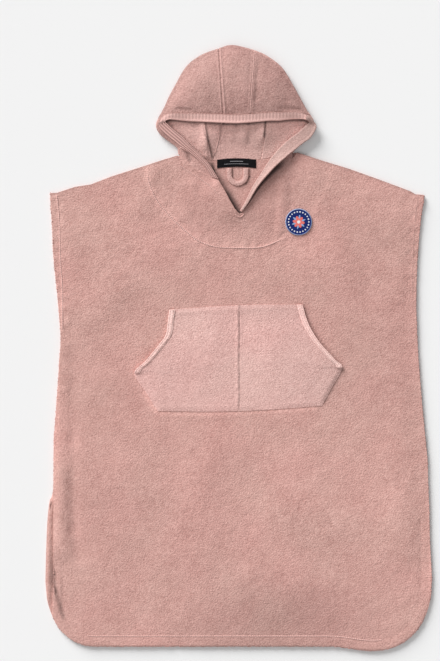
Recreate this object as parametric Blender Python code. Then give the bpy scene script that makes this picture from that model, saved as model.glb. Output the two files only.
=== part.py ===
"""Hooded bath poncho of terry, laid flat on its back with the hood opened upwards.

Frame: X runs across the garment, Y from the hem to the top of the hood and Z up
from the surface that it lies on. The origin is the middle of the ground it covers.
Tables and functions give millimetres, and MM turns them into metres when a mesh
is made. Every cut piece is a thin closed wall between two surfaces: pieces that
are sewn edge to edge share the points of their seam, and a piece that lies on
another is made from the other's surface, moved out.
"""
from collections import namedtuple

import bmesh
import bpy
import numpy as np

MM = 0.001

# Cloth and sewing
TERRY = 3.0  # thickness of the cloth with its loops
POCKET_TERRY = 2.6  # the pocket's cloth, its smooth side outwards
FACING = 1.5  # thickness of the rim band and the pocket's hem bands
SEAM_GAP = 0.32  # between two pieces sewn edge to edge
LAY_GAP = 0.36  # between two pieces that lie on each other
TOP_GAP = 0.6  # between the front and what is sewn on it with a grid of its own

# Body
SHOULDER_Y = 325.0  # height of the shoulder corners
HEM_Y = -626.0
HEM_DROP = 9.0  # how far the hem hangs lower on the right
HEM_DROP_START = 190.0
HEM_DROP_END = 280.0
BODY_ROWS = 32
CORNER_STEPS = 5

Corner = namedtuple("Corner", "across up")
FRONT_LEFT_CORNER = Corner(100.0, 150.0)
BACK_LEFT_CORNER = Corner(125.0, 140.0)
RIGHT_CORNER = Corner(126.0, 150.0)

Side = namedtuple("Side", "y front_left back_left right")
SIDES = (
    Side(-635.0, -388.0, -405.0, 405.0),
    Side(-483.0, -388.0, -405.0, 405.0),
    Side(-403.0, -388.0, -403.0, 401.0),
    Side(-355.0, -388.0, -400.5, 400.0),
    Side(-319.0, -388.0, -396.0, 399.0),
    Side(-300.0, -388.0, -388.5, 398.0),
    Side(-235.0, -387.5, -387.5, 396.0),
    Side(-193.0, -387.0, -387.0, 392.0),
    Side(-109.0, -381.0, -381.0, 384.0),
    Side(-25.0, -375.5, -375.5, 377.5),
    Side(25.0, -373.0, -373.0, 374.5),
    Side(101.0, -379.0, -379.0, 372.5),
    Side(185.0, -387.5, -387.5, 375.0),
    Side(269.0, -392.0, -392.0, 382.0),
    Side(325.0, -395.0, -395.0, 389.5),
    Side(430.0, -395.0, -395.0, 389.5),
)

Point = namedtuple("Point", "x y")
LEFT_SHOULDER = (
    Point(-395.0, 325.0),
    Point(-381.0, 325.5),
    Point(-343.0, 338.0),
    Point(-310.0, 343.0),
    Point(-266.0, 360.0),
    Point(-203.0, 380.0),
    Point(-157.5, 395.0),
    Point(-128.5, 403.5),
)
RIGHT_SHOULDER = (
    Point(122.5, 410.5),
    Point(169.0, 395.0),
    Point(230.0, 376.5),
    Point(293.0, 354.0),
    Point(360.0, 329.0),
    Point(371.0, 322.5),
    Point(389.5, 321.0),
)
SLIT_LEFT_EDGE = (Point(-29.0, 331.0), Point(-17.5, 309.0), Point(-7.0, 291.0))
SLIT_POINT = Point(2.0, 281.0)

# The back neckline is a shallow parabola: its height at X 0, its tilt and its curve.
BACK_NECK_Y = 392.0
BACK_NECK_TILT = 0.034
BACK_NECK_CURVE = 0.00098

# Soft folds: a rounded ridge along the line from (x0, y0) to (x1, y1), with a
# width of its own on the left and on the right of that line.
Fold = namedtuple("Fold", "x0 y0 x1 y1 height left right")
FRONT_SWELLS = (
    Fold(-330.0, 240.0, -210.0, 200.0, 2.2, 60.0, 70.0),
    Fold(-250.0, 130.0, -330.0, 40.0, 1.8, 40.0, 55.0),
    Fold(170.0, 190.0, 330.0, 120.0, 3.0, 45.0, 60.0),
    Fold(270.0, 300.0, 345.0, 215.0, 2.2, 35.0, 50.0),
    Fold(300.0, 30.0, 330.0, -110.0, 2.4, 45.0, 60.0),
    Fold(-120.0, 220.0, 40.0, 175.0, 1.6, 45.0, 60.0),
    Fold(-300.0, -230.0, -180.0, -330.0, 2.0, 60.0, 80.0),
    Fold(-60.0, -220.0, -110.0, -430.0, 2.2, 50.0, 60.0),
    Fold(110.0, -330.0, 290.0, -390.0, 2.8, 60.0, 80.0),
    Fold(40.0, -480.0, 250.0, -540.0, 2.0, 50.0, 60.0),
    Fold(-280.0, -480.0, -130.0, -560.0, 1.8, 50.0, 50.0),
    Fold(330.0, -230.0, 350.0, -420.0, 2.4, 35.0, 40.0),
    Fold(-95.0, 345.0, -112.0, 280.0, 1.6, 14.0, 18.0),
    Fold(92.0, 335.0, 84.0, 250.0, 1.8, 14.0, 18.0),
    Fold(150.0, 372.0, 176.0, 300.0, 2.2, 20.0, 26.0),
    Fold(-170.0, 372.0, -205.0, 290.0, 1.6, 20.0, 26.0),
)
FRONT_LIPS = (
    Fold(-372.0, 70.0, -371.0, -420.0, 3.6, 22.0, 20.0),
    Fold(-48.0, 325.0, -18.0, 292.0, 4.2, 30.0, 26.0),
)
HOOD_FLOOR_FOLDS = (
    Fold(-86.0, 520.0, -64.0, 425.0, 6.0, 22.0, 13.0),
    Fold(62.0, 520.0, 50.0, 432.0, 5.0, 15.0, 22.0),
    Fold(6.0, 520.0, 8.0, 440.0, 3.0, 16.0, 16.0),
)
EDGE_FADE = 45.0  # the swells die out this far from the front's edges

# Hood: one row for each section from the left end of the face opening, round the
# crown, to the right corner of the brow. A section runs from the rim over the
# upper layer to the turn, round the fold there, and back along the lower layer
# to the neck seam. rim_z and fold are heights of the outer surface, crown is how
# far the upper layer bulges and bow how far its line curves sideways.
Section = namedtuple("Section", "name rim_x rim_y rim_z turn_x turn_y fold crown bow neck_x")
HOOD = (
    Section("slit end", -42.0, 354.0, 8.0, -126.0, 406.0, 6.9, 0.0, -8.0, -117.0),
    Section("front neck", -60.0, 383.0, 10.0, -127.0, 409.5, 7.3, 0.0, -4.0, -111.0),
    Section("side neck", -85.0, 409.5, 11.0, -127.5, 414.0, 7.9, 0.0, -1.5, -105.0),
    Section("neck notch", -101.0, 424.0, 12.0, -128.5, 419.0, 8.6, 0.0, 0.0, -99.0),
    Section("jaw", -115.0, 439.0, 12.5, -135.0, 425.5, 9.6, 0.0, 0.0, -93.0),
    Section("cheek", -135.0, 456.0, 12.5, -152.0, 437.5, 10.6, 0.0, 0.0, -87.0),
    Section("left rim turn", -146.0, 466.0, 12.5, -165.0, 448.5, 11.5, 0.0, 0.0, -81.0),
    Section("left corner", -152.5, 473.5, 13.0, -173.0, 463.0, 12.0, 0.0, 0.0, -76.0),
    Section("left temple", -146.0, 478.0, 14.0, -170.0, 479.0, 12.5, 0.5, 0.0, -72.0),
    Section("left brow", -134.0, 477.5, 16.0, -157.0, 503.0, 13.0, 1.5, 0.0, -69.0),
    Section("left side", -116.0, 475.7, 19.0, -146.0, 527.0, 13.0, 3.0, 0.0, -66.0),
    Section("left crown", -98.0, 474.0, 21.5, -131.0, 555.0, 13.0, 4.0, 0.0, -63.0),
    Section("left dome", -80.0, 473.0, 23.5, -110.0, 590.0, 13.0, 5.0, 0.0, -60.0),
    Section("left top", -58.0, 471.7, 25.0, -80.0, 616.0, 13.0, 5.5, 0.0, -57.0),
    Section("left seam", -31.0, 470.3, 26.5, -43.0, 630.0, 13.0, 6.0, 0.0, -54.0),
    Section("middle", -4.0, 469.4, 27.0, -13.0, 635.0, 13.0, 6.0, 0.0, -6.0),
    Section("right seam", 23.0, 471.0, 27.0, 38.0, 626.0, 13.5, 6.0, 0.0, 47.0),
    Section("right top", 45.0, 473.0, 26.0, 68.0, 611.0, 14.0, 5.5, 0.0, 56.0),
    Section("right dome", 66.0, 475.0, 25.0, 93.0, 586.0, 14.0, 5.0, 0.0, 64.0),
    Section("right crown", 86.0, 475.5, 23.5, 112.5, 554.0, 14.5, 4.0, 0.0, 72.0),
    Section("right side", 105.0, 478.0, 21.5, 131.0, 521.0, 15.0, 3.0, 0.0, 81.0),
    Section("right brow", 123.0, 478.8, 19.0, 144.5, 497.0, 14.5, 1.5, 0.0, 90.0),
    Section("right temple", 136.0, 478.3, 17.0, 152.0, 486.5, 13.0, 0.5, 0.0, 102.0),
    Section("right corner", 146.5, 475.0, 15.0, 157.5, 479.0, 11.0, 0.0, 0.0, 114.0),
)
SECTION_NAMES = [section.name for section in HOOD]
LEFT_CORNER = SECTION_NAMES.index("left corner")
LEFT_SEAM = SECTION_NAMES.index("left seam")
RIGHT_SEAM = SECTION_NAMES.index("right seam")
SECTION_STEPS = 2  # columns from one section to the next
BAND_WIDTH = 17.0
BAND_STEPS = 2
UPPER_STEPS = 5
FOLD_STEPS = 6
LOWER_STEPS = 6

# Right stretch of the rim: one row for each section from the brow's right corner
# down to the point of the slit. The band stands away from the front at its free
# edge, the rim, and turns under at the roll, from where a narrow strip of the
# hood runs back to the front neck seam. Heights are those of the hollow side.
Leg = namedtuple("Leg", "rim_x rim_y rim_z roll_x roll_y seam_x seam_y")
RIGHT_LEG = (
    Leg(162.0, 470.0, 11.0, 149.5, 473.6, 155.0, 471.5),
    Leg(163.0, 460.0, 11.0, 147.0, 469.5, 153.0, 465.5),
    Leg(151.0, 440.0, 10.0, 134.0, 456.5, 141.0, 450.0),
    Leg(137.5, 430.0, 10.5, 121.0, 445.5, 129.0, 438.0),
    Leg(119.0, 415.0, 12.5, 102.0, 431.5, 113.5, 420.0),
    Leg(100.5, 399.0, 15.0, 83.5, 413.0, 112.0, 397.0),
    Leg(80.0, 381.0, 17.0, 65.0, 391.5, 95.0, 376.0),
    Leg(60.0, 361.0, 17.0, 48.5, 369.5, 69.0, 355.0),
    Leg(39.5, 337.0, 13.5, 29.5, 342.0, 47.5, 334.0),
    Leg(21.5, 304.5, 9.5, 13.0, 308.5, 24.5, 303.0),
    Leg(7.5, 284.5, 8.2, 3.5, 286.5, 9.0, 284.0),
)
FIRST_SEWN_LEG = 5  # from this row on the strip is sewn to the front's neckline
ROLL_LOW = 6.7
ROLL_HIGH = 7.7
LEG_STEPS = 2
LIMB_STEPS = 3
ROLL_STEPS = 4

# Pocket: one row for each level, from its lower edge to its upper edge.
Level = namedtuple("Level", "left_x left_y right_x right_y")
POCKET = (
    Level(-170.0, -132.0, 175.0, -121.0),
    Level(-195.0, -92.0, 197.0, -81.0),
    Level(-218.0, -53.0, 217.0, -42.0),
    Level(-194.0, -26.0, 201.0, -23.0),
    Level(-166.0, 8.0, 172.0, 9.0),
    Level(-152.5, 28.0, 154.0, 36.0),
    Level(-148.5, 52.0, 143.0, 60.0),
    Level(-145.0, 80.0, 134.0, 91.0),
)
POCKET_TIPS = 2  # the level where the hand openings begin
POCKET_SEAM_X = 2.0
POCKET_SAG = 6.0  # the lower edge's middle lies lower than its corners
POCKET_RISE = 4.0  # the upper edge's middle lies higher than its corners
POCKET_BAND = 12.0
POUCH = 2.2  # the hand space in the laid pocket
POCKET_COLUMNS = 5  # on each side of the middle seam

# Small pieces
PATCH_CENTRE = Point(126.0, 264.0)
PATCH_RADIUS = 28.0
PATCH_THICKNESS = 1.3
PATCH_SIDES = 24
LABEL_CENTRE = Point(-4.0, 389.0)
LABEL_WIDTH = 82.0
LABEL_HEIGHT = 18.0
LABEL_THICKNESS = 0.8
LABEL_ARCH = 3.0
LABEL_STEPS = 8
LOOP_CENTRE_X = -2.0
LOOP_TOP_Y = 377.5
LOOP_MIDDLE_Y = 361.0
LOOP_RADIUS = 17.5
LOOP_STRIP = 11.0
LOOP_THICKNESS = 2.4
LOOP_STEPS = 12


def through(rows, where):
    """Smooth curve through rows of numbers, read at fractional row numbers."""
    rows = np.asarray(rows, float)
    padded = np.vstack([2 * rows[0] - rows[1], rows, 2 * rows[-1] - rows[-2]])
    span = np.clip(np.floor(where).astype(int), 0, len(rows) - 2)
    t = (where - span)[:, None]
    before, start, end, after = (padded[span + k] for k in range(4))
    straight = (end - before) * t
    bend = (2 * before - 5 * start + 4 * end - after) * t**2
    twist = (3 * start - before - 3 * end + after) * t**3
    return start + 0.5 * (straight + bend + twist)


def steps_through(rows, steps):
    """Fractional row numbers from the first row to the last."""
    spans = len(rows) - 1
    return np.linspace(0, spans, steps * spans + 1)


def smoothstep(value):
    """Rise from 0 to 1 with level ends."""
    t = np.clip(value, 0.0, 1.0)
    return t * t * (3 - 2 * t)


def unit(vectors):
    """Vectors of length 1 along the last axis."""
    return vectors / np.linalg.norm(vectors, axis=-1, keepdims=True)


def ridge(fold, x, y):
    """Height of one soft fold: a bell across its line, rounded at both ends."""
    along = np.array([fold.x1 - fold.x0, fold.y1 - fold.y0])
    length = np.hypot(*along)
    along = along / length
    run = np.clip((x - fold.x0) * along[0] + (y - fold.y0) * along[1], 0, length)
    away_x = x - fold.x0 - run * along[0]
    away_y = y - fold.y0 - run * along[1]
    side = away_x * along[1] - away_y * along[0]
    share = 0.5 + 0.5 * np.tanh(2 * side / min(fold.left, fold.right))
    width = fold.left + (fold.right - fold.left) * share
    return fold.height * np.exp(-(away_x**2 + away_y**2) / width**2)


def side_x(column, y):
    """X of one side of the body at the heights y."""
    rows = through(SIDES, np.linspace(0, len(SIDES) - 1, 8 * len(SIDES)))
    return np.interp(y, rows[:, 0], rows[:, Side._fields.index(column)])


def hem_y(x):
    """Height of the hem line before its corners are rounded."""
    drop = smoothstep((x - HEM_DROP_START) / (HEM_DROP_END - HEM_DROP_START))
    return HEM_Y - HEM_DROP * drop


def back_neck_y(x):
    """Height of the back neckline."""
    return BACK_NECK_Y + BACK_NECK_TILT * x + BACK_NECK_CURVE * x**2


def corner_arc(corner):
    """Distances in from the side and up from the hem along a rounded corner."""
    turn = np.linspace(0, np.pi / 2, CORNER_STEPS + 1)
    return corner.across * (1 - np.cos(turn)), corner.up * (1 - np.sin(turn))


def front_underside(x, y):
    """Height of the front panel's underside, with its soft folds."""
    clear = np.minimum(x - side_x("front_left", y), side_x("right", y) - x)
    clear = np.minimum(clear, y - HEM_Y)
    swell = sum(ridge(fold, x, y) for fold in FRONT_SWELLS)
    lip = sum(ridge(fold, x, y) for fold in FRONT_LIPS)
    rise = np.clip((y - HEM_Y) / EDGE_FADE, 0, 1)
    return TERRY + LAY_GAP + swell * smoothstep(clear / EDGE_FADE) + lip * rise


def hood_surface(where):
    """Outer surface of the hood, and at each point the direction to the inner one."""
    rows = through([section[1:] for section in HOOD], where)
    rim, rim_z, turn = rows[:, 0:2], rows[:, 2], rows[:, 3:5]
    fold, crown, bow = rows[:, 5], rows[:, 6], rows[:, 7]
    neck_x = np.interp(where, range(len(HOOD)), [section.neck_x for section in HOOD])
    neck = np.column_stack([neck_x, back_neck_y(neck_x) + SEAM_GAP / 2])
    radius = (fold / 2)[:, None]
    to_rim = unit(rim - turn)
    to_neck = unit(neck - turn)
    upper_end = turn + radius * to_rim
    lower_start = turn + radius * to_neck
    across = np.column_stack([-to_rim[:, 1], to_rim[:, 0]])
    leaf = np.linalg.norm(upper_end - rim, axis=1)
    band = np.minimum(BAND_WIDTH, 0.85 * leaf) / leaf
    up = np.tile([0.0, 0.0, 1.0], (len(where), 1))
    lines, inward = [], []
    band_shares = [band * k / BAND_STEPS for k in range(BAND_STEPS)]
    upper_shares = [band + (1 - band) * k / UPPER_STEPS for k in range(UPPER_STEPS + 1)]
    for share in band_shares + upper_shares:
        curve = (bow * 4 * share * (1 - share))[:, None]
        plan = rim + (upper_end - rim) * share[:, None] + across * curve
        height = rim_z + (fold - rim_z) * share**2 + crown * np.sin(np.pi * share)
        lines.append(np.column_stack([plan, height]))
        inward.append(-up)
    for angle in np.linspace(np.pi / 2, -np.pi / 2, FOLD_STEPS + 1)[1:-1]:
        leaf_way = unit(to_rim * (angle > -0.01) + to_neck * (angle < 0.01))
        plan = turn + radius * (1 - np.cos(angle)) * leaf_way
        lines.append(np.column_stack([plan, fold / 2 * (1 + np.sin(angle))]))
        inward.append(np.column_stack([leaf_way * np.cos(angle), up[:, 2] * -np.sin(angle)]))
    for share in np.linspace(0, 1, LOWER_STEPS + 1):
        plan = lower_start + (neck - lower_start) * share
        height = sum(ridge(fold, plan[:, 0], plan[:, 1]) for fold in HOOD_FLOOR_FOLDS)
        settle = smoothstep(share * 4) * smoothstep((1 - share) * 4)
        lines.append(np.column_stack([plan, height * settle]))
        inward.append(up)
    return np.array(lines), np.array(inward)


def leg_surface(where):
    """Hollow side of the rim's right stretch: rim, roll and turned-under strip."""
    rows = through(RIGHT_LEG, where)
    rim, rim_z, roll, seam = rows[:, 0:2], rows[:, 2], rows[:, 3:5], rows[:, 5:7]
    depth = (ROLL_HIGH - ROLL_LOW) / 2
    upper_end = roll + depth * unit(rim - roll)
    lower_start = roll + depth * unit(seam - roll)
    lines = []
    for share in np.linspace(0, 1, LIMB_STEPS + 1):
        plan = rim + (upper_end - rim) * share
        height = ROLL_HIGH + (rim_z - ROLL_HIGH) * (1 - share) ** 1.3
        lines.append(np.column_stack([plan, height]))
    for angle in np.linspace(np.pi / 2, -np.pi / 2, ROLL_STEPS + 1)[1:-1]:
        inward = unit(rim - roll) if angle > 0 else unit(seam - roll)
        plan = roll + depth * (1 - np.cos(angle)) * inward
        height = np.full(len(plan), ROLL_LOW + depth * (1 + np.sin(angle)))
        lines.append(np.column_stack([plan, height]))
    for share in np.linspace(0, 1, LIMB_STEPS + 1):
        plan = lower_start + (seam - lower_start) * share
        lines.append(np.column_stack([plan, np.full(len(plan), ROLL_LOW)]))
    return np.array(lines)


def normals(surface):
    """Unit normals of a grid of points, from its two directions."""
    down = np.gradient(surface, axis=0)
    along = np.gradient(surface, axis=1)
    return unit(np.cross(along, down))


def material(name, colour, roughness):
    """Plain cloth material."""
    made = bpy.data.materials.new(name)
    made.use_nodes = True
    shader = made.node_tree.nodes["Principled BSDF"]
    shader.inputs["Base Color"].default_value = (*colour, 1.0)
    shader.inputs["Roughness"].default_value = roughness
    shader.inputs["Metallic"].default_value = 0.0
    return made


def add_object(name, mesh, finish, collection):
    """Object for one piece, in its collection and with its material."""
    piece = bpy.data.objects.new(name, mesh)
    piece.data.materials.append(finish)
    collection.objects.link(piece)
    return piece


def wall(name, near, far, finish, collection):
    """Closed wall between two grids of points that match row by row."""
    rows, columns = near.shape[:2]
    index = np.arange(2 * rows * columns).reshape(2, rows, columns)
    triangles = []

    def strip(first, second):
        """Two triangles for each cell between two matching lines of points."""
        a, b = first[:-1], first[1:]
        c, d = second[1:], second[:-1]
        triangles.extend(np.column_stack([a, b, c]).tolist())
        triangles.extend(np.column_stack([a, c, d]).tolist())

    for layer in index:
        for row in range(rows - 1):
            strip(layer[row], layer[row + 1])
    for edge in (np.s_[0, :], np.s_[-1, :], np.s_[:, 0], np.s_[:, -1]):
        strip(index[0][edge], index[1][edge])
    points = np.concatenate([near.reshape(-1, 3), far.reshape(-1, 3)]) * MM
    mesh = bpy.data.meshes.new(name)
    mesh.from_pydata(points.tolist(), [], triangles)
    shape = bmesh.new()
    shape.from_mesh(mesh)
    bmesh.ops.recalc_face_normals(shape, faces=shape.faces)
    shape.to_mesh(mesh)
    shape.free()
    mesh.shade_smooth()
    mesh.set_sharp_from_angle(angle=np.radians(50))
    return add_object(name, mesh, finish, collection)


def raised(surface, height):
    """The same grid of points, moved straight up."""
    return surface + np.array([0.0, 0.0, height])


def back_outline():
    """Outline of the back panel, anticlockwise from the lower left corner."""
    in_left, up_left = corner_arc(BACK_LEFT_CORNER)
    in_right, up_right = corner_arc(RIGHT_CORNER)
    left_x = SIDES[0].back_left + in_left
    right_x = SIDES[0].right - in_right[::-1]
    neck_x = np.linspace(LEFT_SHOULDER[-1].x + 1.5, RIGHT_SHOULDER[0].x - 1.5, 15)
    side_y = np.linspace(SIDES[1].y, SHOULDER_Y, 20)
    left_side = [(side_x("back_left", y), y) for y in side_y[::-1]]
    right_side = [(side_x("right", y), y) for y in side_y[:-1]]
    points = list(zip(left_x, hem_y(left_x) + up_left))
    points += list(zip(right_x, hem_y(right_x) + up_right[::-1]))[:-1]
    points += right_side
    points += list(RIGHT_SHOULDER)[::-1]
    points += list(zip(neck_x, back_neck_y(neck_x) - SEAM_GAP / 2))[::-1]
    points += list(LEFT_SHOULDER)[::-1]
    points += left_side[1:-1]
    return points


def make_back(finish, collection):
    """Back panel: a flat outline with the cloth's thickness, on the ground."""
    curve = bpy.data.curves.new("back_panel", "CURVE")
    curve.dimensions = "2D"
    curve.fill_mode = "BOTH"
    curve.extrude = TERRY / 2 * MM
    points = back_outline()
    spline = curve.splines.new("POLY")
    spline.points.add(len(points) - 1)
    for target, (x, y) in zip(spline.points, points):
        target.co = (x * MM, y * MM, 0.0, 1.0)
    spline.use_cyclic_u = True
    panel = add_object("back_panel", curve, finish, collection)
    panel.location.z = TERRY / 2 * MM
    return panel


def front_neckline(hood, leg):
    """Points of the front's neckline, from the left neck point to the right one."""
    seam_step = BAND_STEPS + UPPER_STEPS
    sewn = hood[1 : seam_step + 1, 0, :2][::-1]
    left = sewn + np.array([-0.5, -1.0]) * SEAM_GAP
    strip = leg[-1, FIRST_SEWN_LEG * LEG_STEPS :, :2][::-1]
    right = strip + np.array([1.2, -1.2]) * SEAM_GAP
    slit = np.array([Point(hood[0, 0, 0], hood[0, 0, 1] - 1.5), *SLIT_LEFT_EDGE, SLIT_POINT])
    return np.vstack([left[1:], slit, right])


def make_front(hood, leg, finish, collection):
    """Front panel: columns from the hem to the shoulders and the slit neckline."""
    left_top, right_top = side_x("front_left", SHOULDER_Y), side_x("right", SHOULDER_Y)
    in_left, up_left = corner_arc(FRONT_LEFT_CORNER)
    in_right, up_right = corner_arc(RIGHT_CORNER)
    hem_width = SIDES[0].right - SIDES[0].front_left
    top = np.vstack([LEFT_SHOULDER, front_neckline(hood, leg), RIGHT_SHOULDER])
    neck = (top[:, 0] - left_top) / (right_top - left_top)
    left_share = in_left / hem_width
    right_share = 1 - in_right[::-1] / hem_width
    between = neck[(neck > left_share[-1] + 0.02) & (neck < right_share[0] - 0.02)]
    fill = (left_share[-1] + between[0]) / 2
    share = np.concatenate([left_share, [fill], between, right_share])
    top_x = left_top + share * (right_top - left_top)
    top_y = np.interp(top_x, top[:, 0], top[:, 1])
    hem_x = SIDES[0].front_left + share * hem_width
    low_y = hem_y(hem_x)
    low_y[: len(up_left)] += up_left
    low_y[-len(up_right) :] += up_right[::-1]
    rise = np.linspace(0, 1, BODY_ROWS + 1)[:, None]
    y = low_y + (top_y - low_y) * rise
    left, right = side_x("front_left", y), side_x("right", y)
    x = left + share * (right - left)
    x += (top_x - x[-1]) * rise
    under = np.dstack([x, y, front_underside(x, y)])
    return wall("front_panel", under, raised(under, TERRY), finish, collection)


def make_hood(surface, inward, finish, collection):
    """The hood's three cut pieces, from one shared surface."""
    spans = {
        "hood_left": (0, LEFT_SEAM),
        "hood_centre": (LEFT_SEAM, RIGHT_SEAM),
        "hood_right": (RIGHT_SEAM, len(HOOD) - 1),
    }
    for name, (first, last) in spans.items():
        piece = np.s_[:, first * SECTION_STEPS : last * SECTION_STEPS + 1]
        outer = surface[piece].copy()
        inner = outer + inward[piece] * TERRY
        for layer in (outer, inner):
            if first > 0:
                layer[:, 0, 0] += SEAM_GAP / 2
            if last < len(HOOD) - 1:
                layer[:, -1, 0] -= SEAM_GAP / 2
        wall(name, outer, inner, finish, collection)


def make_bands(surface, inward, finish, collection):
    """The rim band's left and brow stretches, laid on the hood's rim."""
    corner = LEFT_CORNER * SECTION_STEPS
    near = surface - inward * LAY_GAP
    far = surface - inward * (LAY_GAP + FACING)
    stretches = {"rim_band_left": np.s_[:corner], "rim_band_brow": np.s_[corner:]}
    for name, columns in stretches.items():
        rows = np.s_[: BAND_STEPS + 1]
        wall(name, near[rows, columns], far[rows, columns], finish, collection)


def make_right_band(hollow, finish, collection):
    """The rim's right stretch: leaning band and turned-under strip in one."""
    outward = normals(hollow)
    outward = outward if outward[0, :, 2].mean() > 0 else -outward
    return wall("rim_band_right", hollow, hollow + outward * TERRY, finish, collection)


def pocket_surface():
    """Underside of the pocket, with a line of points for each level."""
    levels = through(POCKET, np.linspace(0, len(POCKET) - 1, 2 * len(POCKET) - 1))
    left, right = levels[:, None, 0:2], levels[:, None, 2:4]
    width = right[:, :, 0] - left[:, :, 0]
    middle = (POCKET_SEAM_X - left[:, :, 0]) / width
    band = POCKET_BAND / width
    steps = np.linspace(0, 1, POCKET_COLUMNS)
    left_part = band + (middle - band) * steps
    right_part = middle + (1 - band - middle) * steps[1:]
    ends = np.zeros_like(width)
    share = np.hstack([ends, left_part, right_part, ends + 1])
    plan = left + (right - left) * share[:, :, None]
    rise = np.linspace(0, 1, len(levels))[:, None]
    curve = np.sin(np.pi * share) * (POCKET_RISE * rise**8 - POCKET_SAG * (1 - rise) ** 8)
    x, y = plan[:, :, 0], plan[:, :, 1] + curve
    from_seam = np.abs(x - POCKET_SEAM_X) / (width / 2)
    sewn_side = np.where(rise * (len(POCKET) - 1) <= POCKET_TIPS, from_seam**6, 0)
    pouch = POUCH * np.sin(np.pi * rise) * smoothstep(from_seam / 0.35) * (1 - sewn_side)
    height = front_underside(x, y) + TERRY + TOP_GAP + pouch
    return np.dstack([x, y, height])


def make_pocket(finish, collection):
    """Pocket and the hem bands of its two hand openings."""
    under = pocket_surface()
    top = raised(under, POCKET_TERRY)
    wall("pocket", under, top, finish, collection)
    open_rows = np.s_[2 * POCKET_TIPS :]
    for name, columns in (("left", np.s_[:2]), ("right", np.s_[-2:])):
        near = raised(top[open_rows, columns], LAY_GAP)
        wall("pocket_band_" + name, near, raised(near, FACING), finish, collection)


def make_patch(finish, collection):
    """Round patch: a disc that lies on the highest point of the front under it."""
    radius = PATCH_RADIUS * MM
    mesh = bpy.data.meshes.new("patch")
    shape = bmesh.new()
    bmesh.ops.create_cone(
        shape,
        cap_ends=True,
        segments=PATCH_SIDES,
        radius1=radius,
        radius2=radius,
        depth=PATCH_THICKNESS * MM,
    )
    shape.to_mesh(mesh)
    shape.free()
    angle = np.linspace(0, 2 * np.pi, PATCH_SIDES, endpoint=False)
    edge_x = PATCH_CENTRE.x + PATCH_RADIUS * np.cos(angle)
    edge_y = PATCH_CENTRE.y + PATCH_RADIUS * np.sin(angle)
    seat = front_underside(edge_x, edge_y).max() + TERRY + TOP_GAP
    middle_z = (seat + PATCH_THICKNESS / 2) * MM
    piece = add_object("patch", mesh, finish, collection)
    piece.location = (PATCH_CENTRE.x * MM, PATCH_CENTRE.y * MM, middle_z)
    return piece


def make_label(finish, collection):
    """Neck label: a slightly arched band across the back neck seam."""
    across = np.linspace(-1, 1, LABEL_STEPS + 1)
    x = LABEL_CENTRE.x + across * LABEL_WIDTH / 2
    middle_y = LABEL_CENTRE.y - LABEL_ARCH * across**2
    rows = []
    for side in (-0.5, 0.5):
        height = np.full(len(x), TERRY + LAY_GAP)
        rows.append(np.column_stack([x, middle_y + side * LABEL_HEIGHT, height]))
    near = np.array(rows)
    return wall("neck_label", near, raised(near, LABEL_THICKNESS), finish, collection)


def make_loop(finish, collection):
    """Hanging loop: a strip that runs down, round a half circle and up again."""
    turn = np.linspace(np.pi, 2 * np.pi, LOOP_STEPS + 1)
    ends_x = np.array([LOOP_CENTRE_X - LOOP_RADIUS, LOOP_CENTRE_X + LOOP_RADIUS])
    lines = []
    for side in (-LOOP_STRIP / 2, LOOP_STRIP / 2):
        radius = LOOP_RADIUS + side
        outward = np.array([-side, side])
        tops = np.column_stack([ends_x + outward, [LOOP_TOP_Y] * 2])
        arc_x = LOOP_CENTRE_X + radius * np.cos(turn)
        arc = np.column_stack([arc_x, LOOP_MIDDLE_Y + radius * np.sin(turn)])
        plan = np.vstack([tops[:1], arc, tops[1:]])
        lines.append(np.column_stack([plan, np.full(len(plan), TERRY + LAY_GAP)]))
    near = np.array(lines)
    return wall("hanging_loop", near, raised(near, LOOP_THICKNESS), finish, collection)


def main():
    """Clear the scene and make every piece."""
    for old in list(bpy.data.objects):
        bpy.data.objects.remove(old, do_unlink=True)
    garment = bpy.data.collections.new("bath_poncho")
    bpy.context.scene.collection.children.link(garment)

    terry = material("terry", (0.60, 0.35, 0.31), 0.95)
    smooth_terry = material("smooth_terry", (0.70, 0.43, 0.40), 0.9)
    label_tape = material("label_tape", (0.02, 0.018, 0.02), 0.6)
    patch_cloth = material("patch_cloth", (0.02, 0.05, 0.28), 0.7)

    hood, inward = hood_surface(steps_through(HOOD, SECTION_STEPS))
    leg = leg_surface(steps_through(RIGHT_LEG, LEG_STEPS))

    make_back(terry, garment)
    make_front(hood, leg, terry, garment)
    make_hood(hood, inward, terry, garment)
    make_bands(hood, inward, smooth_terry, garment)
    make_right_band(leg, smooth_terry, garment)
    make_pocket(smooth_terry, garment)
    make_patch(patch_cloth, garment)
    make_label(label_tape, garment)
    make_loop(terry, garment)


main()
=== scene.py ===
"""Looks of a hooded terry bath poncho that lies flat on its back.

Every piece of cloth is a closed thin shell on the form of its solid. Its outer and
inner faces are functions of two parameters on a grid, and relief such as hems, seams,
creases and trodden pile is added along the outer face. Tables and functions are in
millimetres, and MM turns them into metres when a mesh is made. X runs across the
garment, Y from the hem to the top of the hood and Z up from the floor.
"""
from __future__ import annotations

import logging
from dataclasses import dataclass
from enum import Enum

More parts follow.
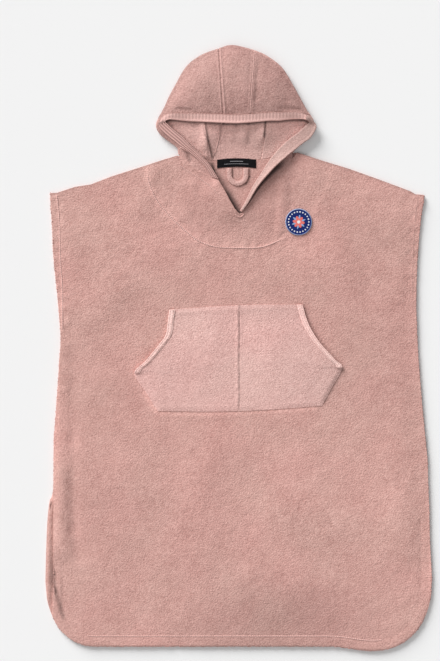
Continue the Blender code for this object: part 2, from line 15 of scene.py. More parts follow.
import bpy
import numpy as np
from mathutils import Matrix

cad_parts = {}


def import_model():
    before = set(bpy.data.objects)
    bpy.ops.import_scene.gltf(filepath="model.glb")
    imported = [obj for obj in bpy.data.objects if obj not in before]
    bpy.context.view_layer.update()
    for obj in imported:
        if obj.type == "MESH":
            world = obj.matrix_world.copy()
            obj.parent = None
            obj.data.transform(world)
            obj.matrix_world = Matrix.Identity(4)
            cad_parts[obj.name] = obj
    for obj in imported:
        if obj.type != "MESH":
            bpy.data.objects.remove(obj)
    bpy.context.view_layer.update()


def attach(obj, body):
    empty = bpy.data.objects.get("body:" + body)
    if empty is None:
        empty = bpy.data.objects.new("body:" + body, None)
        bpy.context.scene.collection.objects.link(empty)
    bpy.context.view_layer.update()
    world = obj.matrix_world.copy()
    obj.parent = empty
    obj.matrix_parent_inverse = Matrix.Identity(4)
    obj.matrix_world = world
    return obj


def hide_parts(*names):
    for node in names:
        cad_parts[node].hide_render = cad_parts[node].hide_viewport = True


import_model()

LOG = logging.getLogger("bath_poncho")
MM = 0.001
Array = np.ndarray
Point = tuple[float, float]
Table = tuple[tuple[float, ...], ...]
Colour = tuple[float, float, float]
Material = bpy.types.Material
Node = bpy.types.Node
Piece = bpy.types.Object
Socket = bpy.types.NodeSocket

TERRY = 3.0
POCKET_TERRY = 2.6
FACING = 1.5
SEAM_GAP = 0.12
LAY_GAP = 0.36
TOP_GAP = 0.6
THREAD_LIFT = 0.15


class Slot(Enum):
    """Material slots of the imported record."""

    TERRY = "terry"
    SMOOTH_TERRY = "smooth_terry"
    LABEL_TAPE = "label_tape"
    PATCH_CLOTH = "patch_cloth"


class Hold(Enum):
    """Ways in which a sheet of cloth lies."""

    LAID = "laid"
    FOLDED = "folded"


# ---------------------------------------------------------------- curves and fields


def smoothstep(value: Array) -> Array:
    """Rise from 0 to 1 with level ends, 3t^2 - 2t^3."""
    t = np.clip(value, 0.0, 1.0)
    return t * t * (3 - 2 * t)


def unit(vectors: Array) -> Array:
    """Vectors of length 1 along the last axis."""
    return vectors / np.maximum(np.linalg.norm(vectors, axis=-1, keepdims=True), 1e-12)


def beyond(value: Array, start: float, width: float) -> Array:
    """Smoothstep from 0 at the start to 1 at a width past it."""
    return smoothstep((value - start) / width)


def before(value: Array, start: float, width: float) -> Array:
    """Smoothstep from 0 at the start to 1 at a width short of it."""
    return smoothstep((start - value) / width)


def bell(distance: Array, width: float) -> Array:
    """Bell curve, exp(-(distance / width)^2)."""
    return np.exp(-((distance / width) ** 2))


def rounded(near: Array, power: float) -> Array:
    """Rise of a rounded corner from 0 to 1, 1 - (1 - t^p)^(1/p)."""
    return 1 - (1 - near**power) ** (1 / power)


def through(rows: Array | Table, where: Array) -> Array:
    """Catmull-Rom curve through rows of numbers.

    Args:
        rows: The numbers, one row for each knot.
        where: Fractional row numbers to read the curve at.

    Returns:
        One row of numbers for each value in where.
    """
    rows = np.asarray(rows, float)
    padded = np.vstack([2 * rows[0] - rows[1], rows, 2 * rows[-1] - rows[-2]])
    span = np.clip(np.floor(where).astype(int), 0, len(rows) - 2)
    t = (where - span)[:, None]
    first, start, end, last = (padded[span + k] for k in range(4))
    straight = (end - first) * t
    bend = (2 * first - 5 * start + 4 * end - last) * t**2
    twist = (3 * start - first - 3 * end + last) * t**3
    return start + 0.5 * (straight + bend + twist)


def travelled(path: Array) -> Array:
    """Length of a path up to each of its points."""
    return np.concatenate([[0], np.cumsum(np.linalg.norm(np.diff(path, axis=0), axis=1))])


def at_marks(marks: Array, run: Array, values: Array) -> Array:
    """Rows of values read at lengths along a path."""
    return np.column_stack([np.interp(marks, run, column) for column in values.T])


def leftward(path: Array) -> Array:
    """Directions to the left of a path in plan: its own, turned by a quarter."""
    way = unit(np.gradient(path[:, :2], axis=0))
    return np.column_stack([-way[:, 1], way[:, 0]])


def even_path(knots: Array | Table, spacing: float) -> Array:
    """Smooth line through knots with evenly spaced points.

    Args:
        knots: Points of two or three numbers.
        spacing: Distance from one point to the next.

    Returns:
        The points of the line.
    """
    fine = through(knots, np.linspace(0, len(knots) - 1, 40 * len(knots)))
    run = travelled(fine)
    return at_marks(np.linspace(0, run[-1], max(2, int(round(run[-1] / spacing)) + 1)), run, fine)


def nearest_on(x: Array, y: Array, line: Array | Table) -> tuple[Array, Array]:
    """Plan distance from points to a line, and how far along it the nearest place is.

    Args:
        x: X of the points.
        y: Y of the points.
        line: Corners of the line.

    Returns:
        Distances and lengths along the line, shaped as x.
    """
    nearest = np.full(x.shape, np.inf)
    along = np.zeros(x.shape)
    start = 0.0
    for (x0, y0), (x1, y1) in zip(line[:-1], line[1:]):
        length = np.hypot(x1 - x0, y1 - y0)
        tx, ty = (x1 - x0) / length, (y1 - y0) / length
        run = np.clip((x - x0) * tx + (y - y0) * ty, 0, length)
        gap = np.hypot(x - x0 - run * tx, y - y0 - run * ty)
        closer = gap < nearest
        nearest = np.where(closer, gap, nearest)
        along = np.where(closer, start + run, along)
        start += length
    return nearest, along


def distance(x: Array, y: Array, line: Array | Table) -> Array:
    """Plan distance from points to a line."""
    return nearest_on(x, y, line)[0]


def noise(x: Array, y: Array, size: float, seed: int) -> Array:
    """Smooth value noise from -1 to 1: random heights on a lattice, blended by smoothsteps.

    Args:
        x: X of the points.
        y: Y of the points.
        size: Lattice spacing.
        seed: Number of the pattern.

    Returns:
        Heights shaped as x.
    """
    u, v = x / size, y / size
    i, j = np.floor(u), np.floor(v)
    a, b = smoothstep(u - i), smoothstep(v - j)

    def corner(di: int, dj: int) -> Array:
        """Random height of one lattice corner."""
        mixed = np.sin((i + di) * 127.1 + (j + dj) * 311.7 + seed * 74.7) * 43758.5453
        return 2 * (mixed - np.floor(mixed)) - 1

    low = corner(0, 0) * (1 - a) + corner(1, 0) * a
    high = corner(0, 1) * (1 - a) + corner(1, 1) * a
    return low * (1 - b) + high * b


def pile(x: Array, y: Array, seed: int) -> Array:
    """Unevenness of terry pile in mm: clumps of 5 and 11 mm, hollows of 28 and 70 mm."""
    clumps = 0.22 * noise(x, y, 5.0, seed) + 0.26 * noise(x, y, 11.0, seed + 1)
    return clumps + 0.28 * noise(x, y, 28.0, seed + 2) + 0.4 * noise(x, y, 70.0, seed + 3)


@dataclass(frozen=True)
class Fold:
    """Soft ridge along a line, or a trough where its height is negative."""

    x0: float
    y0: float
    x1: float
    y1: float
    height: float
    left: float
    right: float

    def height_at(self, x: Array, y: Array) -> Array:
        """Bell across the line, with a width on each side of it, and rounded ends.

        Args:
            x: X of the points.
            y: Y of the points.

        Returns:
            Heights shaped as x.
        """
        along_x, along_y = self.x1 - self.x0, self.y1 - self.y0
        length = np.hypot(along_x, along_y)
        along_x, along_y = along_x / length, along_y / length
        run = np.clip((x - self.x0) * along_x + (y - self.y0) * along_y, 0, length)
        away_x = x - self.x0 - run * along_x
        away_y = y - self.y0 - run * along_y
        side = away_x * along_y - away_y * along_x
        share = 0.5 + 0.5 * np.tanh(2 * side / min(self.left, self.right))
        width = self.left + (self.right - self.left) * share
        return self.height * np.exp(-(away_x**2 + away_y**2) / width**2)


def relief_of(folds: tuple[Fold, ...], x: Array, y: Array) -> Array:
    """Sum of the heights of several folds."""
    return sum((fold.height_at(x, y) for fold in folds), np.zeros(np.shape(x)))


# ---------------------------------------------------------------- meshes


def make_object(
    name: str,
    points: Array,
    faces: Array,
    uv: Array | None = None,
    tone: Array | None = None,
    lining: Array | None = None,
) -> Piece:
    """Object from arrays, with faces pointing outwards.

    The volume is the sum of the signed volumes of the corners' tetrahedra, and the
    faces are turned round where it is negative.

    Args:
        name: Name of the object and its mesh.
        points: Corners in millimetres.
        faces: Corner numbers, three or four for each face.
        uv: Place of each corner on the cloth, in millimetres.
        tone: Share by which each corner is darker than its finish, or lighter below 0: mostly painted shade
            and painted light.
        lining: Whether each face has the second finish.

    Returns:
        The object, in the scene.
    """
    corners = faces if faces.shape[1] == 3 else halves(faces)
    a, b, c = (points[corners[:, k]] for k in range(3))
    if np.einsum("ij,ij->", a, np.cross(b, c)) < 0:
        faces = faces[:, ::-1]
    count, sides = faces.shape
    mesh = bpy.data.meshes.new(name)
    mesh.vertices.add(len(points))
    mesh.vertices.foreach_set("co", (points * MM).astype(np.float32).ravel())
    mesh.loops.add(count * sides)
    mesh.loops.foreach_set("vertex_index", faces.astype(np.int32).ravel())
    mesh.polygons.add(count)
    mesh.polygons.foreach_set("loop_start", np.arange(0, count * sides, sides, dtype=np.int32))
    mesh.update(calc_edges=True)
    if uv is not None:
        layer = mesh.uv_layers.new(name="cloth")
        layer.data.foreach_set("uv", (uv * MM)[faces.ravel()].astype(np.float32).ravel())
    if tone is not None:
        # The tone attribute carries painted shade, and painted light where it is below 0.
        mesh.attributes.new("tone", "FLOAT", "POINT").data.foreach_set("value", tone.astype(np.float32))
    if lining is not None:
        mesh.polygons.foreach_set("material_index", lining.astype(np.int32))
    mesh.polygons.foreach_set("use_smooth", np.ones(count, dtype=bool))
    piece = bpy.data.objects.new(name, mesh)
    bpy.context.scene.collection.objects.link(piece)
    return piece


def quads(index: Array) -> Array:
    """Four-sided faces between neighbouring numbers of an index grid."""
    cells = (index[:-1, :-1], index[:-1, 1:], index[1:, 1:], index[1:, :-1])
    return np.stack(cells, axis=-1).reshape(-1, 4)


def halves(faces: Array) -> Array:
    """Four-sided faces cut into triangles."""
    return np.vstack([faces[:, :3], faces[:, [0, 2, 3]]])


def fan(ring: Array, pole: int) -> Array:
    """Triangles between neighbours of a closed ring of numbers and one pole."""
    return np.column_stack([ring[:-1], ring[1:], np.full(len(ring) - 1, pole)])


def wrapped(index: Array) -> Array:
    """Index grid with its first column again at the end, which closes it round."""
    return np.hstack([index, index[:, :1]])


def stretches(ends: Table) -> Array:
    """Shares from 0 to 1 of a length that is divided finely in some stretches.

    Args:
        ends: End of each stretch and its spacing, in millimetres.

    Returns:
        The shares.
    """
    marks, start = [np.zeros(1)], 0.0
    for end, spacing in ends:
        marks.append(np.linspace(start, end, int(round((end - start) / spacing)) + 1)[1:])
        start = end
    return np.concatenate(marks) / start


def edge_steps(count: int) -> Array:
    """Fractional line numbers 0 to count - 1, with extra lines in the first and last cell."""
    extra = np.array([0.05, 0.17, 0.36, 0.62])
    last = count - 1
    return np.sort(np.concatenate([np.arange(count), extra, last - extra]))


def at_steps(grid: Array, steps: Array, axis: int) -> Array:
    """Grid read at fractional line numbers along one axis, on straight lines."""
    low = np.clip(np.floor(steps).astype(int), 0, grid.shape[axis] - 2)
    share = (steps - low).reshape([-1 if k == axis else 1 for k in range(grid.ndim)])
    return np.take(grid, low, axis) * (1 - share) + np.take(grid, low + 1, axis) * share


def with_edge_lines(grid: Array) -> Array:
    """Grid with extra lines next to its four edges, which its rounding needs."""
    grid = at_steps(grid, edge_steps(grid.shape[0]), 0)
    return at_steps(grid, edge_steps(grid.shape[1]), 1)


def runs(surface: Array, axis: int) -> Array:
    """Length along the grid's lines from their first point."""
    steps = np.linalg.norm(np.diff(surface, axis=axis), axis=2)
    total = np.cumsum(steps, axis=axis)
    return np.insert(total, 0, 0.0, axis=axis)


def edge_gap(surface: Array) -> Array:
    """Distance of each grid point from the nearest of the four edges."""
    down, along = runs(surface, 0), runs(surface, 1)
    sides = (down, down[-1:] - down, along, along[:, -1:] - along)
    return np.minimum.reduce(sides)


def toned(points: Array, tone: Array | float) -> Array:
    """Grid of points with a fourth number, the share by which each is darker: painted shade, or painted light
    below 0.
    """
    return np.dstack([points, np.broadcast_to(tone, points.shape[:2])])


def raised(points: Array, height: Array | float) -> Array:
    """Points moved up by a height."""
    moved = points.copy()
    moved[..., 2] += height
    return moved


def shell(name: str, outer: Array, inner: Array, lined: bool = False) -> Piece:
    """Closed cloth shell between two grids, with half-round edges.

    Half the thickness is multiplied by sqrt(1 - (1 - d/h)^2), where d is the distance
    from the edge and h half the thickness, so that both faces meet in the edge.

    Args:
        name: Name of the piece.
        outer: Outer face, a grid of points, which may have tones.
        inner: Inner face, with matching points, which may have tones.
        lined: Whether the inner face has a finish of its own.

    Returns:
        The piece.
    """
    tones = [grid[:, :, 3] if grid.shape[2] > 3 else 0 * grid[:, :, 0] for grid in (outer, inner)]
    outer, inner = outer[:, :, :3], inner[:, :, :3]
    middle, half = (outer + inner) / 2, (outer - inner) / 2
    depth = np.linalg.norm(half, axis=2)
    inset = np.clip(1 - edge_gap(middle) / np.maximum(depth, 1e-6), 0, 1)
    taper = np.sqrt(1 - inset**2)[:, :, None]
    outer, inner = middle + half * taper, middle - half * taper
    rows, columns = depth.shape
    top = np.arange(rows * columns).reshape(rows, columns)
    bottom = top.copy()
    bottom[1:-1, 1:-1] = top.size + np.arange((rows - 2) * (columns - 2)).reshape(rows - 2, -1)
    points = np.vstack([outer.reshape(-1, 3), inner[1:-1, 1:-1].reshape(-1, 3)])
    plan = np.dstack([np.broadcast_to(runs(middle, 1)[:1], depth.shape), runs(middle, 0)])
    uv = np.vstack([plan.reshape(-1, 2), plan[1:-1, 1:-1].reshape(-1, 2)])
    tone = np.concatenate([tones[0].ravel(), tones[1][1:-1, 1:-1].ravel()])
    outside, inside = quads(top), quads(bottom)[:, ::-1]
    lining = np.arange(2 * len(outside)) >= len(outside) if lined else None
    return make_object(name, points, np.vstack([outside, inside]), uv, tone, lining)


def cloth(name: str, outer: Array, inner: Array, lined: bool = False) -> Piece:
    """Shell between two grids, which first get the extra lines at their edges."""
    return shell(name, with_edge_lines(outer), with_edge_lines(inner), lined)


@dataclass(frozen=True)
class Stamp:
    """Small closed shape that is repeated many times."""

    points: Array
    faces: Array

    @classmethod
    def tube(cls, path: Array, radii: Array, sides: int) -> Stamp:
        """Round tube in the XZ plane: a circle at each path point, and a point at each end.

        Args:
            path: Path points, X and Z.
            radii: Radius at each path point.
            sides: Corners of the circle.

        Returns:
            The stamp.
        """
        out = leftward(path)
        angle = np.linspace(0, 2 * np.pi, sides, endpoint=False)
        ring = radii[:, None] * np.cos(angle)
        x = path[:, :1] + out[:, :1] * ring
        z = path[:, 1:] + out[:, 1:] * ring
        body = np.stack([x, radii[:, None] * np.sin(angle), z], axis=-1).reshape(-1, 3)
        first = np.array([path[0, 0], 0, path[0, 1]])
        last = np.array([path[-1, 0], 0, path[-1, 1]])
        rounding = np.array([out[0, 1], 0, -out[0, 0]]) * radii[0] / 2
        index = wrapped(np.arange(len(path) * sides).reshape(len(path), sides))
        faces = [halves(quads(index)), fan(index[0, ::-1], len(body)), fan(index[-1], len(body) + 1)]
        return cls(np.vstack([body, first - rounding, last + rounding]), np.vstack(faces))

    def repeat(self, name: str, centres: Array, along: Array, up: Array, size: Array) -> Piece:
        """Piece made of one copy at each centre.

        Args:
            name: Name of the piece.
            centres: Where the copies are.
            along: Direction of each copy's X axis.
            up: Rough direction of each copy's Z axis.
            size: Factors for each copy's X, Y and Z.

        Returns:
            The piece.
        """
        along = unit(along)
        side = unit(np.cross(up, along))
        above = np.cross(along, side)
        scaled = self.points[None] * size[:, None, :]
        axes = np.stack([along, side, above], axis=1)
        points = centres[:, None, :] + np.einsum("npk,nkc->npc", scaled, axes)
        shift = np.arange(len(centres))[:, None, None] * len(self.points)
        faces = (self.faces[None] + shift).reshape(-1, 3)
        return make_object(name, points.reshape(-1, 3), faces)


STITCH = Stamp.tube(
    np.array([[-0.5, -0.25], [-0.36, 0.0], [0.0, 0.12], [0.36, 0.0], [0.5, -0.25]]),
    np.array([0.22, 0.42, 0.5, 0.42, 0.22]),
    6,
)
LOOP = Stamp.tube(
    np.array([[-0.5, -0.3], [-0.52, 0.35], [0.0, 0.8], [0.52, 0.35], [0.5, -0.3]]),
    np.array([0.2, 0.22, 0.22, 0.22, 0.2]),
    4,
)


def stitch_row(name: str, path: Array, pitch: float, width: float, up: Array | None = None) -> Piece:
    """Row of sewn stitches along a path: thread lies on top for 0.85 of each pitch.

    Args:
        name: Name of the piece.
        path: Points of the thread.
        pitch: Distance from one stitch to the next.
        width: Thickness of the thread as it shows.
        up: Direction away from the cloth at each point, or none where it is Z.

    Returns:
        The piece.
    """
    up = np.tile([0.0, 0.0, 1.0], (len(path), 1)) if up is None else up
    run = travelled(path)
    marks = np.arange(pitch / 2, run[-1], pitch)
    along = at_marks(marks + pitch / 4, run, path) - at_marks(marks - pitch / 4, run, path)
    size = np.tile([pitch * 0.85, width, width * 0.17], (len(marks), 1))
    return STITCH.repeat(name, at_marks(marks, run, path), along, at_marks(marks, run, up), size)


# ---------------------------------------------------------------- finishes


class NodeSheet:
    """Short ways to make one material from shader nodes."""

    def __init__(self, name: str) -> None:
        """Empty material with its Principled shader."""
        self.material = bpy.data.materials.new(name)
        self.material.use_nodes = True
        self.tree = self.material.node_tree
        self.shader = self.tree.nodes["Principled BSDF"]
        self.place = self.add("ShaderNodeTexCoord").outputs["Object"]
        self.cloth = self.add("ShaderNodeUVMap", uv_map="cloth").outputs["UV"]

    def add(self, kind: str, inputs: dict[str | int, object] | None = None, **settings: object) -> Node:
        """New node with its properties set and its inputs fed."""
        node = self.tree.nodes.new(kind)
        for name, value in settings.items():
            setattr(node, name, value)
        for name, value in (inputs or {}).items():
            self.feed(node.inputs[name], value)
        return node

    def feed(self, target: Socket, value: object) -> None:
        """Join a socket to the target, or set a number or a colour on it."""
        if isinstance(value, Socket):
            self.tree.links.new(value, target)
        else:
            target.default_value = (*value, 1.0) if isinstance(value, tuple) else value

    def axis(self, place: Socket, name: str) -> Socket:
        """One coordinate of a place."""
        return self.add("ShaderNodeSeparateXYZ", {0: place}).outputs[name]

    def noise(self, size: float, detail: float) -> Node:
        """Noise with features of a size in mm."""
        inputs = {"Vector": self.place, "Scale": 1 / (size * MM), "Detail": detail, "Roughness": 0.55}
        return self.add("ShaderNodeTexNoise", inputs)

    def grain(self, size: float, detail: float) -> Socket:
        """Noise with features of a size in mm, from 0 to 1."""
        return self.noise(size, detail).outputs["Fac"]

    def cells(self, size: float) -> Socket:
        """Distance from the middle of rounded cells of a size in mm, whose places wobble."""
        wobble = {0: self.noise(size * 2.2, 1.0).outputs["Color"], "Scale": size * 0.9 * MM}
        shift = self.add("ShaderNodeVectorMath", wobble, operation="SCALE").outputs[0]
        moved = self.add("ShaderNodeVectorMath", {0: self.place, 1: shift}, operation="ADD").outputs[0]
        inputs = {"Vector": moved, "Scale": 1 / (size * MM), "Smoothness": 0.35}
        return self.add("ShaderNodeTexVoronoi", inputs, feature="SMOOTH_F1").outputs["Distance"]

    def maths(self, operation: str, first: object, second: object = 0.0) -> Socket:
        """Outcome of a sum with one or two values."""
        return self.add("ShaderNodeMath", {0: first, 1: second}, operation=operation).outputs[0]

    def spread(self, value: Socket, low: float, high: float, a: float, b: float) -> Socket:
        """Value from low to high turned into one from a to b, without going past them."""
        inputs = {"Value": value, "From Min": low, "From Max": high, "To Min": a, "To Max": b}
        return self.add("ShaderNodeMapRange", inputs).outputs["Result"]

    def blend(self, share: Socket, first: object, second: object) -> Socket:
        """Mix of two colours."""
        return self.add("ShaderNodeMix", {0: share, 6: first, 7: second}, data_type="RGBA").outputs[2]

    def scaled(self, colour: Socket, factor: Socket) -> Socket:
        """Colour times a number, or times another colour."""
        way, name = ("SCALE", "Scale") if factor.type == "VALUE" else ("MULTIPLY", 1)
        return self.add("ShaderNodeVectorMath", {0: colour, name: factor}, operation=way).outputs[0]

    def with_tone(self, colour: Socket) -> Socket:
        """Colour darkened by the piece's own tone, its painted shade, or lightened where the tone is painted
        light.
        """
        tone = self.add("ShaderNodeAttribute", attribute_name="tone").outputs["Fac"]
        return self.scaled(colour, self.maths("SUBTRACT", 1.0, tone))

    def bump(self, height: Socket, depth: float, normal: Socket | None = None) -> Socket:
        """Bump of a depth in mm, on top of another bump where there is one."""
        inputs = {"Height": height, "Strength": 1.0, "Distance": depth * MM}
        inputs |= {} if normal is None else {"Normal": normal}
        return self.add("ShaderNodeBump", inputs).outputs["Normal"]

    def finish(
        self, colour: Socket, normal: Socket, roughness: float, sheen: float, gloss: float = 0.2
    ) -> Material:
        """Join the shader and return the material.

        Args:
            colour: Colour of the cloth.
            normal: Its bump.
            roughness: Its roughness.
            sheen: Weight of the fibres' soft sheen.
            gloss: Level of its mirror reflection.

        Returns:
            The material.
        """
        for name, value in (
            ("Base Color", colour),
            ("Normal", normal),
            ("Roughness", roughness),
            ("Specular IOR Level", gloss),
            ("Sheen Weight", sheen),
            ("Sheen Roughness", 0.6),
            ("Sheen Tint", (1.0, 0.86, 0.83)),
        ):
            self.feed(self.shader.inputs[name], value)
        return self.material


def shade(colour: Colour, factor: float) -> Colour:
    """Colour made lighter or darker."""
    return tuple(min(1.0, part * factor) for part in colour)


@dataclass(frozen=True)
class TerryFinish:
    """Looped cotton pile: rounded loops in clumps, with painted shade in the pits between them."""

    name: str
    colour: Colour
    loop: float
    loop_depth: float
    clump_depth: float
    contrast: float
    patchiness: float = 1.0
    sheen: float = 0.2

    def make(self) -> Material:
        """Build the material from loops, clumps and patches of trodden pile.

        Patches of 34 and 90 mm shift the tone, and the widest ones turn it from pink
        to beige.
        """
        sheet = NodeSheet(self.name)
        loops = sheet.cells(self.loop)
        tufts = sheet.grain(1.35 * self.loop, 2.0)
        clumps = sheet.grain(4.5 * self.loop, 3.0)
        mottle = sheet.spread(loops, 0.2, 0.9, 0.1, 0.9)
        for grain, reach in (
            (tufts, 1.1),
            (clumps, 0.34 * self.patchiness),
            (sheet.grain(34.0, 3.0), 0.3 * self.patchiness),
            (sheet.grain(90.0, 2.0), 0.3 * self.patchiness),
        ):
            mottle = sheet.maths("ADD", mottle, sheet.spread(grain, 0.3, 0.7, reach, -reach))
        light = shade(self.colour, 1 + self.contrast)
        dark = shade(self.colour, 1 - self.contrast)
        depth = sheet.spread(mottle, -1.0, 2.0, 0.0, 1.0)
        # Loop tips lighter as painted light and pits darker as painted shade, mixed with random grain.
        grain_and_tip_light = tuple(part * (1 + 1.5 * self.contrast) * hue for part, hue in zip(light, (1.0, 1.04, 1.04)))
        grain_and_pit_shade = tuple(part * (1 - 1.5 * self.contrast) * hue for part, hue in zip(dark, (1.03, 0.93, 0.92)))
        colour = sheet.blend(depth, grain_and_tip_light, grain_and_pit_shade)
        warm = sheet.spread(sheet.grain(150.0, 1.0), 0.35, 0.65, 0.0, 1.0)
        colour = sheet.scaled(colour, sheet.blend(warm, (1.008, 0.985, 0.98), (0.99, 1.02, 1.005)))
        normal = sheet.bump(clumps, self.clump_depth)
        normal = sheet.bump(sheet.maths("SUBTRACT", 1.0, loops), self.loop_depth, normal)
        return sheet.finish(sheet.with_tone(colour), normal, 0.95, self.sheen)


@dataclass(frozen=True)
class Ribs:
    """Even ribs: their pitch and the height of their wave, in mm."""

    pitch: float
    height: float


BROW_RIBS = Ribs(7.0, 0.24)
LEG_RIBS = Ribs(5.5, 0.8)


@dataclass(frozen=True)
class RibbedFinish:
    """Sewn-over band: threads lie across or along it, with painted light on the ribs and painted shade
    between them.
    """

    name: str
    colour: Colour
    pitch: float
    across: bool
    contrast: float
    lip: float = 0.0

    def make(self) -> Material:
        """Build the material from ribs at even steps of X, or of the band's own width."""
        sheet = NodeSheet(self.name)
        width = sheet.axis(sheet.cloth, "Y")
        way = sheet.axis(sheet.place, "X") if self.across else width
        wave = sheet.maths("COSINE", sheet.maths("MULTIPLY", way, 2 * np.pi / (self.pitch * MM)))
        grain = sheet.grain(1.6, 3.0)
        # The ribs' lighter tops and darker grooves are painted light and shade; the lip takes the light
        # colour, and grain varies both.
        rib = sheet.spread(wave, -0.7, 0.5, 0.0, 1.0)
        on_lip = sheet.spread(width, self.lip * MM, (self.lip + 0.01) * MM, 1.0, 0.0)
        rib = sheet.maths("MAXIMUM", rib, on_lip)
        rib_light_and_grain = sheet.maths("MULTIPLY", rib, sheet.spread(grain, 0.3, 0.7, 0.7, 1.0))
        dark = shade(self.colour, 1 - self.contrast)
        colour = sheet.blend(rib_light_and_grain, dark, shade(self.colour, 1 + 0.6 * self.contrast))
        normal = sheet.bump(grain, 0.4)
        return sheet.finish(sheet.with_tone(colour), normal, 0.9, 0.2)


@dataclass(frozen=True)
class ThreadFinish:
    """Sewing thread: one colour with the fine turn of its plies."""

    name: str
    colour: Colour

    def make(self) -> Material:
        """Build the material from short streaks."""
        sheet = NodeSheet(self.name)
        streaks = sheet.grain(0.7, 2.0)
        colour = sheet.blend(streaks, shade(self.colour, 0.85), shade(self.colour, 1.12))
        return sheet.finish(colour, sheet.bump(streaks, 0.2), 0.8, 0.15)


@dataclass(frozen=True)
class TapeFinish:
    """Woven tape: a close weave with a dull gloss."""

    name: str
    colour: Colour
    thread: float = 0.5

    def make(self) -> Material:
        """Build the weave as the product of two waves along the tape's own length and width."""
        sheet = NodeSheet(self.name)
        turns = [
            sheet.maths("MULTIPLY", sheet.axis(sheet.cloth, way), np.pi / (self.thread * MM)) for way in "XY"
        ]
        weave = sheet.maths("MULTIPLY", *(sheet.maths("SINE", turn) for turn in turns))
        share = sheet.spread(weave, -1.0, 1.0, 0.0, 1.0)
        colour = sheet.blend(share, shade(self.colour, 0.7), shade(self.colour, 1.6))
        return sheet.finish(colour, sheet.bump(weave, 0.12), 0.6, 0.0, 0.06)


@dataclass(frozen=True)
class PatchFinish:
    """Embroidered twill: the piece's own tint with satin-stitch streaks, faintly white as painted sheen."""

    name: str
    thread: float = 0.9

    def make(self) -> Material:
        """Build the material from the colour attribute and fine slanting threads."""
        sheet = NodeSheet(self.name)
        tint = sheet.add("ShaderNodeAttribute", attribute_name="tint").outputs["Color"]
        slant = sheet.maths("ADD", sheet.axis(sheet.place, "X"), sheet.axis(sheet.place, "Y"))
        wave = sheet.maths("SINE", sheet.maths("MULTIPLY", slant, 2 * np.pi / (self.thread * MM)))
        # Faint white streaks along the slanting threads: painted sheen.
        share = sheet.spread(wave, -1.0, 1.0, 0.0, 0.012)
        colour = sheet.blend(share, tint, (1.0, 1.0, 1.0))
        return sheet.finish(colour, sheet.bump(wave, 0.1), 0.7, 0.0, 0.06)


@dataclass(frozen=True)
class FloorFinish:
    """Plain pale studio floor."""

    name: str
    colour: Colour

    def make(self) -> Material:
        """Build the material from one even colour."""
        sheet = NodeSheet(self.name)
        for name, value in (("Base Color", self.colour), ("Roughness", 1.0), ("Specular IOR Level", 0.0)):
            sheet.feed(sheet.shader.inputs[name], value)
        return sheet.material


@dataclass
class Wardrobe:
    """All the finishes, made once."""

    terry: Material
    hood_terry: Material
    lining: Material
    pocket_terry: Material
    smooth_band: Material
    pocket_band: Material
    brow_ribs: Material
    leg_ribs: Material
    thread: Material
    pale_thread: Material
    tape: Material
    patch: Material

    @classmethod
    def make(cls) -> Wardrobe:
        """Build every material of the garment."""
        return cls(
            terry=TerryFinish("terry", (0.565, 0.322, 0.288), 2.6, 0.7, 0.55, 0.088).make(),
            hood_terry=TerryFinish("hood_terry", (0.455, 0.262, 0.237), 2.6, 0.7, 0.55, 0.106).make(),
            lining=TerryFinish("lining", (0.65, 0.395, 0.36), 2.4, 0.7, 0.5, 0.105, 0.7).make(),
            pocket_terry=TerryFinish("pocket_terry", (0.68, 0.417, 0.385), 2.3, 0.7, 0.4, 0.09, 0.7).make(),
            smooth_band=TerryFinish("smooth_band", (0.445, 0.29, 0.263), 2.0, 0.6, 0.3, 0.1, 0.5).make(),
            pocket_band=TerryFinish("pocket_band", (0.85, 0.57, 0.53), 1.8, 0.5, 0.2, 0.08, 0.6).make(),
            brow_ribs=RibbedFinish("brow_ribs", (0.60, 0.37, 0.335), BROW_RIBS.pitch, True, 0.07, 3.6).make(),
            leg_ribs=RibbedFinish("leg_ribs", (0.60, 0.355, 0.32), LEG_RIBS.pitch, False, 0.32).make(),
            thread=ThreadFinish("thread", (0.66, 0.40, 0.36)).make(),
            pale_thread=ThreadFinish("pale_thread", (0.34, 0.33, 0.35)).make(),
            tape=TapeFinish("tape", (0.006, 0.0055, 0.0065)).make(),
            patch=PatchFinish("patch_twill").make(),
        )


@dataclass(frozen=True)
class Cut:
    """Flat size of a cut piece in metres, and its area where it isn't a rectangle."""

    width: float
    length: float
    area: float | None = None


def dress(piece: Piece, finish: Material, lining: Material | None = None) -> Piece:
    """Give a piece its finish, that of its inner face and its body."""
    piece.data.materials.append(finish)
    if lining is not None:
        piece.data.materials.append(lining)
    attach(piece, "root")
    LOG.info("%s: %d faces", piece.name, len(piece.data.polygons))
    return piece


def thread(finishes: Wardrobe, row: Piece) -> Piece:
    """Give a row of stitches the garment's sewing thread."""
    return dress(row, finishes.thread)


def lay(
    node: str,
    with_pieces: list[Piece] | None = None,
) -> None:
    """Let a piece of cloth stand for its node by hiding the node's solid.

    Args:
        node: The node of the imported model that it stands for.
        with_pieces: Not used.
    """
    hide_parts(node)


# ---------------------------------------------------------------- forms


HOOD_STEPS = (8, 50, 12, 64)


class Side(Enum):
    """Columns of the body's side table."""

    FRONT_LEFT = 1
    BACK_LEFT = 2
    RIGHT = 3


